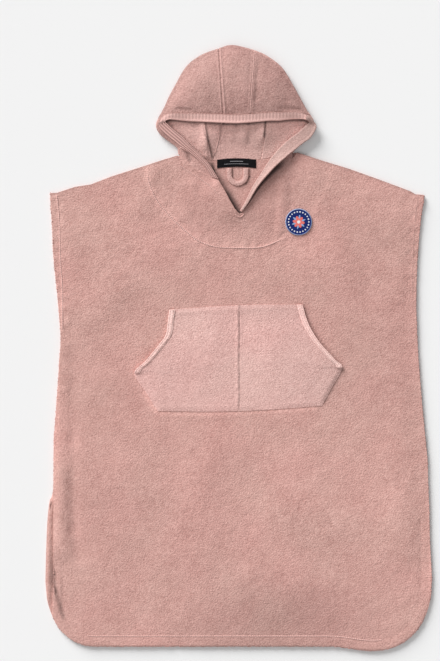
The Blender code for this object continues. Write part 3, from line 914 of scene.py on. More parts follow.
@dataclass(frozen=True)
class BodyForm:
    """Outline and heights of the body's two panels."""

    bottom_y: float = -626.0
    drop: float = 9.0
    drop_start: float = 190.0
    drop_end: float = 280.0
    sides: Table = (
        (-635, -405, -405, 405),
        (-572, -405, -405, 405),
        (-540, -396.5, -405, 405),
        (-508, -388.5, -405, 405),
        (-476, -388, -405, 405),
        (-403, -388, -403, 401),
        (-355, -388, -400.5, 400),
        (-319, -388, -396, 399),
        (-300, -388, -388.5, 398),
        (-235, -387.5, -387.5, 396),
        (-193, -387, -387, 392),
        (-109, -381, -381, 384),
        (-25, -375.5, -375.5, 377.5),
        (25, -373, -373, 374.5),
        (101, -379, -379, 372.5),
        (185, -387.5, -387.5, 375),
        (269, -392, -392, 382),
        (325, -395, -395, 389.5),
        (430, -395, -395, 389.5),
    )
    left_shoulder: Table = (
        (-395, 325), (-381, 325.5), (-343, 338), (-310, 343), (-266, 360), (-203, 380),
        (-157.5, 395), (-128.5, 403.5),
    )
    right_shoulder: Table = (
        (122.5, 410.5), (169, 395), (230, 376.5), (293, 354), (360, 329), (371, 322.5),
        (389.5, 321),
    )
    slit_left: Table = ((-29.0, 331.0), (-17.5, 309.0), (-7.0, 291.0))
    slit_point: Point = (2.0, 281.0)
    left_corner: tuple[float, float, float] = (105.0, 135.0, 2.1)
    right_corner: tuple[float, float, float] = (126.0, 150.0, 2.25)
    neck_y: float = 392.0
    neck_tilt: float = 0.034
    neck_curve: float = 0.00098
    fade: float = 45.0
    swells: tuple[Fold, ...] = (
        Fold(-330, 240, -210, 200, 2.2, 60, 70),
        Fold(-250, 130, -330, 40, 1.8, 40, 55),
        Fold(170, 190, 330, 120, 3, 45, 60),
        Fold(270, 300, 345, 215, 2.2, 35, 50),
        Fold(300, 30, 330, -110, 2.4, 45, 60),
        Fold(-120, 220, 40, 175, 1.6, 45, 60),
        Fold(-300, -230, -180, -330, 2, 60, 80),
        Fold(-60, -220, -110, -430, 2.2, 50, 60),
        Fold(110, -330, 290, -390, 2.8, 60, 80),
        Fold(40, -480, 250, -540, 2, 50, 60),
        Fold(-280, -480, -130, -560, 1.8, 50, 50),
        Fold(330, -230, 350, -420, 2.4, 35, 40),
        Fold(-95, 345, -112, 280, 1.6, 14, 18),
        Fold(92, 335, 84, 250, 1.8, 14, 18),
        Fold(150, 372, 176, 300, 2.2, 20, 26),
        Fold(-170, 372, -205, 290, 1.6, 20, 26),
    )
    lips: tuple[Fold, ...] = (
        Fold(-372, 70, -371, -420, 3.6, 22, 20),
        Fold(-48, 325, -18, 292, 4.2, 30, 26),
    )

    def side_x(self, side: Side, y: Array) -> Array:
        """X of one side at the heights y, on a smooth line through the table."""
        rows = through(self.sides, np.linspace(0, len(self.sides) - 1, 8 * len(self.sides)))
        return np.interp(y, rows[:, 0], rows[:, side.value])

    def hem_y(self, x: Array) -> Array:
        """Hem line, which its corners lift by h (1 - (1 - t^p)^(1/p)) at each end."""
        low = self.bottom_y - self.drop * beyond(x, self.drop_start, self.drop_end - self.drop_start)
        for gap, (width, height, power) in (
            (x - self.sides[0][2], self.left_corner),
            (self.sides[0][3] - x, self.right_corner),
        ):
            near = np.clip(1 - gap / width, 0, 1)
            low = low + height * rounded(near, power)
        return low

    def grid(self, side: Side, top: Array, share: Array, rows: Table) -> tuple[Array, Array, Array]:
        """Grid of a panel: columns share its width, and rows run from the hem up.

        Args:
            side: Left side of the panel.
            top: Its upper edge.
            share: Share of the width for each column.
            rows: Stretches of the rows.

        Returns:
            X, Y, and how far X has to move for the columns to end at their share of the edge.
        """
        left_hem, right_hem = self.sides[0][side.value], self.sides[0][Side.RIGHT.value]
        low = self.hem_y(left_hem + share * (right_hem - left_hem))
        top_x = top[0, 0] + share * (top[-1, 0] - top[0, 0])
        rise = stretches(rows)[:, None]
        y = low + (np.interp(top_x, top[:, 0], top[:, 1]) - low) * rise
        left, right = self.side_x(side, y), self.side_x(Side.RIGHT, y)
        x = left + share * (right - left)
        return x, y, (top_x - x[-1]) * rise

    def back_neck_y(self, x: Array) -> Array:
        """Back neckline, a shallow parabola."""
        return self.neck_y + self.neck_tilt * x + self.neck_curve * x**2

    def front_underside(self, x: Array, y: Array) -> Array:
        """Underside of the front panel, with the soft swells of the solid."""
        clear = np.minimum(x - self.side_x(Side.FRONT_LEFT, y), self.side_x(Side.RIGHT, y) - x)
        clear = np.minimum(clear, y - self.bottom_y)
        swell = relief_of(self.swells, x, y) * smoothstep(clear / self.fade)
        lip = relief_of(self.lips, x, y) * np.clip((y - self.bottom_y) / self.fade, 0, 1)
        return TERRY + LAY_GAP + swell + lip


@dataclass(frozen=True)
class HoodForm:
    """The hood's one surface, from the rim over the fold to the neck seam.

    A row of the table holds the rim's X, Y and Z, the turn's X and Y, the fold's
    height, the bulge of the upper layer, its sideways bow and the X of its neck end.
    """

    sections: Table = (
        (-42, 354, 8, -126, 406, 6.9, 0, -8, -117),
        (-60, 383, 10, -127, 409.5, 7.3, 0, -4, -111),
        (-85, 409.5, 11, -127.5, 414, 7.9, 0, -1.5, -105),
        (-101, 424, 12, -128.5, 419, 8.6, 0, 0, -99),
        (-115, 439, 12.5, -135, 425.5, 9.6, 0, 0, -93),
        (-135, 456, 12.5, -152, 437.5, 10.6, 0, 0, -87),
        (-146, 466, 12.5, -165, 448.5, 11.5, 0, 0, -81),
        (-152.5, 473.5, 13, -173, 463, 12, 0, 0, -76),
        (-146, 478, 14, -170, 479, 12.5, 0.5, 0, -72),
        (-134, 477.5, 16, -157, 503, 13, 1.5, 0, -69),
        (-116, 475.7, 19, -146, 527, 13, 3, 0, -66),
        (-98, 474, 21.5, -131, 555, 13, 4, 0, -63),
        (-80, 473, 23.5, -110, 590, 13, 5, 0, -60),
        (-58, 471.7, 25, -79, 614, 13, 5.5, 0, -57),
        (-31, 470.3, 26.5, -42, 628, 13, 6, 0, -54),
        (-4, 469.4, 27, -13, 635, 13, 6, 0, -6),
        (23, 471, 27, 34, 624, 13.5, 6, 0, 47),
        (45, 473, 26, 66, 608.5, 14, 5.5, 0, 56),
        (66, 475, 25, 93, 586, 14, 5, 0, 64),
        (86, 475.5, 23.5, 112.5, 554, 14.5, 4, 0, 72),
        (105, 478, 21.5, 131, 521, 15, 3, 0, 81),
        (123, 478.8, 19, 144.5, 497, 14.5, 1.5, 0, 90),
        (136, 478.3, 17, 152, 486.5, 13, 0.5, 0, 102),
        (146.5, 475, 15, 157.5, 479, 11, 0, 0, 114),
    )
    left_corner: int = 7
    left_seam: int = 14
    right_seam: int = 16
    band: float = 17.0
    leg_band: float = 25.0
    leg_end: float = 14.0
    droop: float = 8.0
    crown_lift: float = 3.0
    lean: float = 15.0
    floor_folds: tuple[Fold, ...] = (
        Fold(-86, 520, -64, 425, 6, 22, 13),
        Fold(62, 520, 50, 432, 5, 15, 22),
        Fold(6, 520, 8, 440, 3, 16, 16),
    )

    @property
    def last(self) -> int:
        """Number of the last section."""
        return len(self.sections) - 1

    def band_width(self, where: Array) -> Array:
        """Width of the rim band: the left leg's grows from its end, then comes the brow's."""
        leg = self.leg_end + (self.leg_band - self.leg_end) * smoothstep(where / 3.5)
        return leg + (self.band - leg) * smoothstep(where - self.left_corner)

    def surface(self, body: BodyForm, where: Array, steps: tuple[int, int, int, int]) -> tuple[Array, Array]:
        """Outer surface and the directions to the inner one.

        The upper layer runs from the rim to the turn, its height goes from the rim's to
        the fold's with the square of the way and bulges as a sine, while the brow's rim
        droops. The fold is a half circle. The lower layer runs back to the neck seam over
        the floor's folds, and its seams lean sideways as a parabola.

        Args:
            body: The body, for the neckline.
            where: Fractional section numbers, one for each column.
            steps: Rows in the band, the upper layer, the fold and the lower layer.

        Returns:
            Points and unit directions, rows by columns by three.
        """
        rows = through(self.sections, where)
        rim, rim_z, turn = rows[:, 0:2], rows[:, 2], rows[:, 3:5]
        fold, crown, bow = rows[:, 5], rows[:, 6], rows[:, 7]
        neck_x = np.interp(where, np.arange(len(self.sections)), [row[8] for row in self.sections])
        neck = np.column_stack([neck_x, body.back_neck_y(neck_x) + SEAM_GAP / 2])
        radius = (fold / 2)[:, None]
        to_rim, to_neck = unit(rim - turn), unit(neck - turn)
        upper_end, lower_start = turn + radius * to_rim, turn + radius * to_neck
        across = np.column_stack([-to_rim[:, 1], to_rim[:, 0]])
        leaf = np.linalg.norm(upper_end - rim, axis=1)
        band = np.minimum(self.band_width(where), 0.92 * leaf) / leaf
        on_brow = beyond(where, 7.5, 3) * before(where, 23, 3)
        rim_z, crown = rim_z - self.droop * on_brow, crown + self.crown_lift * on_brow
        lean = self.lean * beyond(where, 9, 4) * before(where, 21, 4)
        up = np.tile([0.0, 0.0, 1.0], (len(where), 1))
        lines, inward = [], []
        shares = [band * k / steps[0] for k in range(steps[0])]
        shares += [band + (1 - band) * k / steps[1] for k in range(steps[1] + 1)]
        for share in shares:
            curve = (bow * 4 * share * (1 - share))[:, None]
            plan = rim + (upper_end - rim) * share[:, None] + across * curve
            height = rim_z + (fold - rim_z) * share**2 + crown * np.sin(np.pi * share)
            lines.append(np.column_stack([plan, height]))
            inward.append(-up)
        for angle in np.linspace(np.pi / 2, -np.pi / 2, steps[2] + 1)[1:-1]:
            way = unit(to_rim * (angle > -0.01) + to_neck * (angle < 0.01))
            plan = turn + radius * (1 - np.cos(angle)) * way
            lines.append(np.column_stack([plan, fold / 2 * (1 + np.sin(angle))]))
            inward.append(np.column_stack([way * np.cos(angle), up[:, 2] * -np.sin(angle)]))
        for share in np.linspace(0, 1, steps[3] + 1):
            plan = lower_start + (neck - lower_start) * share
            plan[:, 0] += lean * 4 * share * (1 - share)
            height = relief_of(self.floor_folds, plan[:, 0], plan[:, 1])
            settle = smoothstep(share * 4) * smoothstep((1 - share) * 4)
            lines.append(np.column_stack([plan, height * settle]))
            inward.append(up)
        return np.array(lines), np.array(inward)


@dataclass(frozen=True)
class RightRimForm:
    """The rim's right stretch: band, roll and turned-under strip.

    A row of the table holds the rim's X, Y and Z, the roll's X and Y and the seam's.
    """

    rows: Table = (
        (162, 470, 11, 149.5, 473.6, 155, 471.5),
        (163, 460, 11, 147, 469.5, 153, 465.5),
        (151, 440, 10, 134, 456.5, 141, 450),
        (137.5, 430, 10.5, 121, 445.5, 129, 438),
        (119, 415, 12.5, 102, 431.5, 113.5, 420),
        (100.5, 399, 15, 83.5, 413, 112, 397),
        (80, 381, 17, 66, 391.5, 95, 376),
        (61.5, 361, 17, 52, 369.5, 69, 355),
        (41.5, 337, 13.5, 34.5, 342, 47.5, 334),
        (21.5, 304.5, 9.5, 17, 307.5, 24.5, 303),
        (7.5, 284.5, 8.2, 5, 286, 9, 284),
    )
    first_sewn: int = 5
    low: float = 6.7
    high: float = 7.7

    @property
    def last(self) -> int:
        """Number of the last row."""
        return len(self.rows) - 1

    def hollow(self, where: Array, limb: int, roll: int) -> Array:
        """Hollow side of the strip, a line of points for each row of its profile.

        Args:
            where: Fractional row numbers of the table, one for each column.
            limb: Steps along each of the two limbs.
            roll: Steps round the roll.

        Returns:
            Points, rows by columns by three.
        """
        table = through(self.rows, where)
        rim, rim_z, turn, seam = table[:, 0:2], table[:, 2], table[:, 3:5], table[:, 5:7]
        depth = (self.high - self.low) / 2
        upper_end = turn + depth * unit(rim - turn)
        lower_start = turn + depth * unit(seam - turn)
        lines = []
        for share in np.linspace(0, 1, limb + 1):
            height = self.high + (rim_z - self.high) * (1 - share) ** 1.3
            lines.append(np.column_stack([rim + (upper_end - rim) * share, height]))
        for angle in np.linspace(np.pi / 2, -np.pi / 2, roll + 1)[1:-1]:
            way = unit(rim - turn) if angle > 0 else unit(seam - turn)
            height = np.full(len(turn), self.low + depth * (1 + np.sin(angle)))
            lines.append(np.column_stack([turn + depth * (1 - np.cos(angle)) * way, height]))
        for share in np.linspace(0, 1, limb + 1):
            plan = lower_start + (seam - lower_start) * share
            lines.append(np.column_stack([plan, np.full(len(plan), self.low)]))
        return np.array(lines)


# ---------------------------------------------------------------- body


@dataclass
class BackPanel:
    """Back of the body, flat on the floor."""

    form: BodyForm
    column_stretches: Table = ((24, 3), (330, 9), (530, 2.5), (780, 10), (810, 5))
    row_stretches: Table = ((870.0, 9.0), (1020.0, 2.6))
    cut: Cut = Cut(0.81, 1.05, 0.78)
    slit: Table = ((-62, 384), (-50, 366), (-40, 352), (-29, 331), (-17.5, 309), (-7, 291), (2, 281))
    right_gap: Table = ((113.0, 405.0), (95.0, 376.0), (69.0, 352.0), (36.0, 316.0))
    loop_shades: tuple[Fold, ...] = (
        Fold(23, 376, 23, 359, 0.5, 2.2, 1.8),
        Fold(23, 359, 15.5, 345.5, 0.55, 2.2, 1.8),
        Fold(15.5, 345.5, 2, 340.5, 0.5, 1.8, 1.8),
        Fold(-12.6, 380, -12.6, 356, 0.5, 2, 1.6),
        Fold(-55, 386, -51, 368, 0.45, 2.4, 2.4),
        Fold(-22, 322, -1, 286, 0.3, 11, 7),
    )

    def outline_top(self) -> Array:
        """Upper edge: left shoulder, neckline and right shoulder."""
        neck_x = np.linspace(self.form.left_shoulder[-1][0] + 1.5, self.form.right_shoulder[0][0] - 1.5, 15)
        neck = np.column_stack([neck_x, self.form.back_neck_y(neck_x) - SEAM_GAP / 2])
        return np.vstack([self.form.left_shoulder, neck, self.form.right_shoulder])

    def plan(self) -> tuple[Array, Array]:
        """Grid of X and Y: columns share the width, rows run from the hem up."""
        share = stretches(self.column_stretches)
        return self.form.grid(Side.BACK_LEFT, self.outline_top(), share, self.row_stretches)[:2]

    def build(self, finishes: Wardrobe) -> None:
        """Make the panel: slightly uneven pile, and a thick hem where its left edge peeks out."""
        x, y = self.plan()
        flat = with_edge_lines(np.dstack([x, y, 0 * x]))
        x, y = flat[:, :, 0], flat[:, :, 1]
        relief = np.clip(0.5 * pile(x, y, 3), -1.0, 0.0)
        peeks = before(y, -300.0, 20.0) * beyond(y, -552.0, 30.0)
        relief += 2.2 * peeks * bell(x - self.form.side_x(Side.BACK_LEFT, y) - 6.5, 5.0)
        top = toned(raised(flat, TERRY + relief), self.tone(x, y))
        piece = dress(shell("back_cloth", top, flat), finishes.terry)
        lay("back_panel")

    def tone(self, x: Array, y: Array) -> Array:
        """Painted shade where the front's lifted edges keep the light off, inside the neck, by the slit, the
        right gap and the loop.
        """
        corner_x, corner_y, power = self.form.left_corner
        low = np.clip((self.form.bottom_y + corner_y - y) / corner_y, 0, 1)
        front_edge = self.form.side_x(Side.FRONT_LEFT, y) + corner_x * rounded(low, power)
        crevice = before(y, -420.0, 50.0) * beyond(y, -535.0, 50.0) * bell(x - front_edge, 6.0)
        inside = beyond(y, 262.0, 10.0) * before(np.abs(x), 150.0, 10.0)
        edges = 0.55 * bell(distance(x, y, self.slit), 9.0) + 0.4 * bell(distance(x, y, self.right_gap), 14.0)
        return 0.55 * crevice + inside * (0.06 + edges + relief_of(self.loop_shades, x, y))


@dataclass
class FrontPanel:
    """Front of the body, with hems, yoke stitching and the slit neckline."""

    form: BodyForm
    hood: HoodForm
    rim: RightRimForm
    hem: float = 22.0
    hem_top: float = -455.0
    hem_ends: Point = (-322.0, 306.0)
    line_step: float = 12.0
    pocket_half: float = 236.0
    pocket_top: float = 106.0
    pocket_bottom: float = -154.0
    patch_centre: Point = (126.0, 264.0)
    patch_reach: float = 34.0
    cut: Cut = Cut(0.79, 1.04, 0.765)
    column_stretches: Table = ((30, 2.4), (270, 5.2), (545, 3.3), (750, 5.2), (784.5, 2.6))
    row_stretches: Table = ((32.0, 2.6), (760.0, 6.4), (1036.0, 3.6))
    creases: tuple[Fold, ...] = (
        Fold(-352, 40, -350, -190, -1.4, 12, 11),
        Fold(-350, -190, -347, -380, -2.2, 12, 11),
        Fold(-347, -380, -338, -440, -1.5, 13, 12),
        Fold(-387, -470, -382.5, -510, -1.6, 4.5, 4),
        Fold(-382.5, -510, -366, -566, -2, 5, 4),
        Fold(382, -365, 384, -500, -0.8, 5, 6),
        Fold(-46, 344, -3, 286, 2.6, 9, 6),
        Fold(-376, 318, -372, 60, -0.5, 3.5, 3.5),
        Fold(-163, 362, -168, 322, -0.9, 6, 8),
        Fold(-104, 335, -100, 300, -0.9, 6, 7),
        Fold(80, 330, 74, 242, -1.1, 6, 8),
        Fold(108, 352, 112, 300, -1, 7, 8),
        Fold(-108, 412, -101, 392, -2.4, 5, 6),
        Fold(250, 250, 262, 130, -0.9, 22, 26),
    )
    # Painted shade and light: darker in the crevice by the left slit and in broad stretches, lighter along
    # both side edges to offset their shade.
    patches: tuple[Fold, ...] = (
        Fold(-361, 60, -360, -250, -0.19, 9, 9),
        Fold(-387, -470, -382.5, -510, 0.3, 4, 3),
        Fold(-382.5, -510, -366, -566, 0.42, 4.4, 3.8),
        Fold(-386, 160, -386, -400, -0.16, 11, 11),
        Fold(397, -100, 403, -330, -0.2, 6, 6),
        Fold(404, -330, 404, -540, -0.28, 7, 7),
        Fold(0, -600, 150, -560, 0.19, 90, 120),
        Fold(270, 220, 290, -80, 0.08, 60, 70),
        Fold(-90, 320, 130, 330, 0.06, 40, 60),
        Fold(-60, 262, 70, 262, 0.08, 34, 34),
        Fold(-200, -300, -260, -480, 0.04, 60, 70),
    )
    yoke: Table = (
        (-194, 377), (-191, 360), (-184, 336), (-168, 304.5), (-136.3, 268.8), (-106.7, 241.5),
        (-79.4, 222.6), (-47.5, 212.1), (-9.5, 210), (34.7, 210), (59.4, 214.6), (89, 226.8),
        (128, 252), (160, 290), (184, 335), (197, 378),
    )
    arm_left: Table = ((-380.5, 320), (-375.7, 264.6), (-373.2, 178.5), (-369.6, 130.2), (-368.5, 37.8))
    arm_right: Table = ((375.5, 316), (369, 262), (364.5, 178), (364, 100))
    neck_row: Table = ((-122.9, 382), (-106, 371), (-84, 357), (-62, 341), (-42, 322))
    tack: Table = ((-7, 279.5), (-2, 275.5), (2, 274.8), (6, 275.5), (11, 279.5))
    pocket_shade: Table = (
        (136.5, 90), (146, 60), (157, 36), (175, 9), (204, -23), (220, -42), (200, -81),
        (182, -112),
    )
    pocket_low: Table = ((-197, -94), (-172, -135), (-85, -137.5), (2, -135.5), (90, -131), (160, -125))

    def neckline(self) -> Array:
        """Line of the neck seam and the slit, from the left neck point to the right one."""
        where = np.linspace(0, self.hood.last, 2 * self.hood.last + 1)
        hood, _ = self.hood.surface(self.form, where, (2, 5, 6, 6))
        leg = self.rim.hollow(np.linspace(0, self.rim.last, 2 * self.rim.last + 1), 3, 4)
        left = hood[1:8, 0, :2][::-1] + np.array([-0.5, -1.0]) * SEAM_GAP
        right = leg[-1, 2 * self.rim.first_sewn :, :2][::-1] + np.array([1.2, -1.2]) * SEAM_GAP
        slit_top = (hood[0, 0, 0], hood[0, 0, 1] - 1.5)
        slit = np.array([slit_top, *self.form.slit_left, self.form.slit_point])
        return np.vstack([left[1:], slit, right])

    def plan(self) -> tuple[Array, Array]:
        """Grid of X and Y: columns run from the hem to the shoulders and the neckline."""
        top = np.vstack([self.form.left_shoulder, self.neckline(), self.form.right_shoulder])
        width = top[-1, 0] - top[0, 0]
        even = stretches(self.column_stretches)
        knots = (top[:, 0] - top[0, 0]) / width
        clear = np.abs(even[:, None] - knots[None]).min(axis=1) > 1.2 / width
        share = np.unique(np.concatenate([even[clear], knots]))
        x, y, slip = self.form.grid(Side.FRONT_LEFT, top, share, self.row_stretches)
        return x + slip, y

    def outline(self) -> Array:
        """Left side, hem and right side as one line."""
        x, y = self.plan()
        left = np.column_stack([x[::-1, 0], y[::-1, 0]])
        low = np.column_stack([x[0], y[0]])
        right = np.column_stack([x[:, -1], y[:, -1]])
        return np.vstack([left[::6], low[::4], right[::6], right[-1:]])

    def relief(self, x: Array, y: Array) -> Array:
        """What the cloth adds to the solid's upper face, in mm.

        Pile, creases, a hem that stands up to its dented stitch line, and dents with
        small puckers along the other stitch lines. It is nearly flat under the pocket.

        Args:
            x: X of the points.
            y: Y of the points.

        Returns:
            Heights shaped as x.
        """
        gap = distance(x, y, self.outline())
        low = self.near_hem(y)
        hem = 0.8 * low * smoothstep(gap / 3.0) * (1 - beyond(gap, self.hem - 4.0, 5.0))
        height = pile(x, y, 11) + relief_of(self.creases, x, y) + hem
        height -= 0.6 * low * bell(gap - self.hem + 3.0, 2.6)
        for line in (self.yoke, self.arm_left, self.arm_right):
            away, along = nearest_on(x, y, even_path(line, self.line_step))
            height += 0.25 * bell(away, 3.0)
            height += 0.4 * bell(away - 7.0, 4.5) * np.sin(along / 4.1 + np.sin(along / 17.0))
        calm = self.pressed(x, y)
        return height * (1 - calm) + np.minimum(height, 0.0) * 0.4 * calm

    def near_hem(self, y: Array) -> Array:
        """Share of the hem's relief, which fades out up the sides."""
        return before(y, self.hem_top, 60.0)

    def pressed(self, x: Array, y: Array) -> Array:
        """Share by which the pocket and the patch press the cloth flat."""
        pocket = before(np.abs(x), self.pocket_half, 12.0) * before(y, self.pocket_top, 8.0)
        pocket = pocket * beyond(y, self.pocket_bottom, 8.0)
        off = np.hypot(x - self.patch_centre[0], y - self.patch_centre[1])
        return np.maximum(pocket, before(off, self.patch_reach, 6.0))

    def top(self, x: Array, y: Array) -> Array:
        """Height of the cloth's upper face."""
        return self.form.front_underside(x, y) + TERRY + self.relief(x, y)

    def tone(self, x: Array, y: Array) -> Array:
        """Painted shade by the hem, shoulders, neck band and pocket; painted light offsetting shade at other
        seams.
        """
        gap = distance(x, y, self.outline())
        tone = 0.07 * self.near_hem(y) * bell(gap - self.hem + 4.5, 3.0)
        tone -= 0.17 * bell(distance(x, y, even_path(self.arm_left, self.line_step)), 3.0)
        yoke = distance(x, y, even_path(self.yoke, self.line_step))
        tone -= (0.11 + 0.12 * before(x, -70.0, 40.0)) * bell(yoke, 4.0)
        for shoulder in (self.form.left_shoulder, self.form.right_shoulder):
            tone += 0.4 * bell(distance(x, y, shoulder), 2.4)
        neck = self.neckline()
        turned = distance(x, y, neck[neck[:, 0] > 8.0])
        tone += 0.16 * bell(turned, 6.0) * beyond(y, 300.0, 30.0)
        tone += 0.3 * bell(distance(x, y, self.pocket_shade), 2.6)
        tone -= 0.34 * bell(distance(x, y, self.pocket_low), 4.0)
        return tone + relief_of(self.patches, x, y)

    def on_top(self, plan: Array) -> Array:
        """Points of the plan on the upper face."""
        return np.column_stack([plan, self.top(plan[:, 0], plan[:, 1])])

    def hem_line(self) -> Array:
        """Line of the hem stitches, the hem's width in from the edge."""
        x, y = self.plan()
        line = np.column_stack([x[0], y[0]])[2:-2]
        line = even_path(line[:: max(1, len(line) // 50)], 6.0)
        moved = line + leftward(line) * self.hem
        return moved[(moved[:, 0] > self.hem_ends[0]) & (moved[:, 0] < self.hem_ends[1])]

    def build(self, finishes: Wardrobe) -> None:
        """Make the panel and its sewing."""
        x, y = self.plan()
        grid = with_edge_lines(np.dstack([x, y]))
        x, y = grid[:, :, 0], grid[:, :, 1]
        under = np.dstack([x, y, self.form.front_underside(x, y)])
        top = np.dstack([x, y, self.top(x, y)])
        piece = dress(shell("front_cloth", toned(top, self.tone(x, y)), under), finishes.terry)
        hood, _ = self.hood.surface(self.form, np.linspace(0, 1, 2), HOOD_STEPS)
        leg = hood[4 : sum(HOOD_STEPS[:2]) + 1 : 2, 0]
        sewn = self.rim.hollow(np.linspace(self.rim.first_sewn, self.rim.last, 41), 3, 4)[-1]
        # The seam covers' tones: painted light on the left one, painted shade on the right one in the band's
        # shadow.
        covers = [
            dress(self.seam_cover("neck_seam_left", leg, (3.0, 6.0), -0.05), finishes.terry),
            dress(self.seam_cover("neck_seam_right", sewn, (2.0, 4.5), 0.24), finishes.terry),
        ]
        lay("front_panel", self.sew(finishes) + covers)

    def seam_cover(self, name: str, edge: Array, reach: tuple[float, float], tone: float) -> Piece:
        """Strip of pile over the neck seam, from the hood's sewn edge down to this panel.

        Across it the height goes from that of the edge to that of the panel as a
        smoothstep, with a low swell h sin(pi s) over the seam.

        Args:
            name: Name of the piece.
            edge: Sewn edge of the hood, points in order.
            reach: How far it lies on the hood and on the panel.
            tone: Share by which it is darker in its middle, as painted shade, or lighter below 0, as painted
                light.

        Returns:
            The piece.
        """
        out = leftward(edge)
        out *= np.sign(np.sum(out * (edge[:, :2] - [0.0, 400.0]), axis=1))[:, None]
        across = np.linspace(-reach[0], reach[1], 13)
        x, y = np.moveaxis(edge[:, None, :2] + out[:, None] * across[None, :, None], 2, 0)
        drop = beyond(across, -1.0, reach[1])
        swell = np.sin(np.pi * np.linspace(0, 1, 13))
        z = (edge[:, 2:] - 0.06 * across) * (1 - drop) + self.top(x, y) * drop + 0.1 + 0.25 * swell
        return cloth(name, toned(np.dstack([x, y, z]), tone * np.sqrt(swell)), np.dstack([x, y, z - 0.8]))

    def sew(self, finishes: Wardrobe) -> list[Piece]:
        """Topstitching of the yoke, the armholes, the neck and the hem, and the bar tack."""
        made = []
        for name, line, pitch, width in (
            ("yoke_stitches", even_path(self.yoke[1:-4], 4.0), 3.8, 3.8),
            ("armhole_stitches_left", even_path(self.arm_left, 4.0), 3.8, 3.2),
            ("armhole_stitches_right", even_path(self.arm_right, 4.0), 4.4, 1.2),
            ("neck_stitches", even_path(self.neck_row, 4.0), 3.8, 2.4),
            ("hem_stitches", self.hem_line(), 3.8, 3.4),
        ):
            row = stitch_row(name, raised(self.on_top(line), THREAD_LIFT), pitch, width)
            made.append(thread(finishes, row))
        bar = raised(self.on_top(even_path(self.tack, 0.9)), 0.5)
        up, turned, size = (np.tile(row, (len(bar), 1)) for row in ((0, 0, 1.0), (0.12, 1, 0), (3.4, 1, 1.1)))
        return [*made, thread(finishes, STITCH.repeat("slit_bar_tack", bar, turned, up, size))]


# ---------------------------------------------------------------- hood


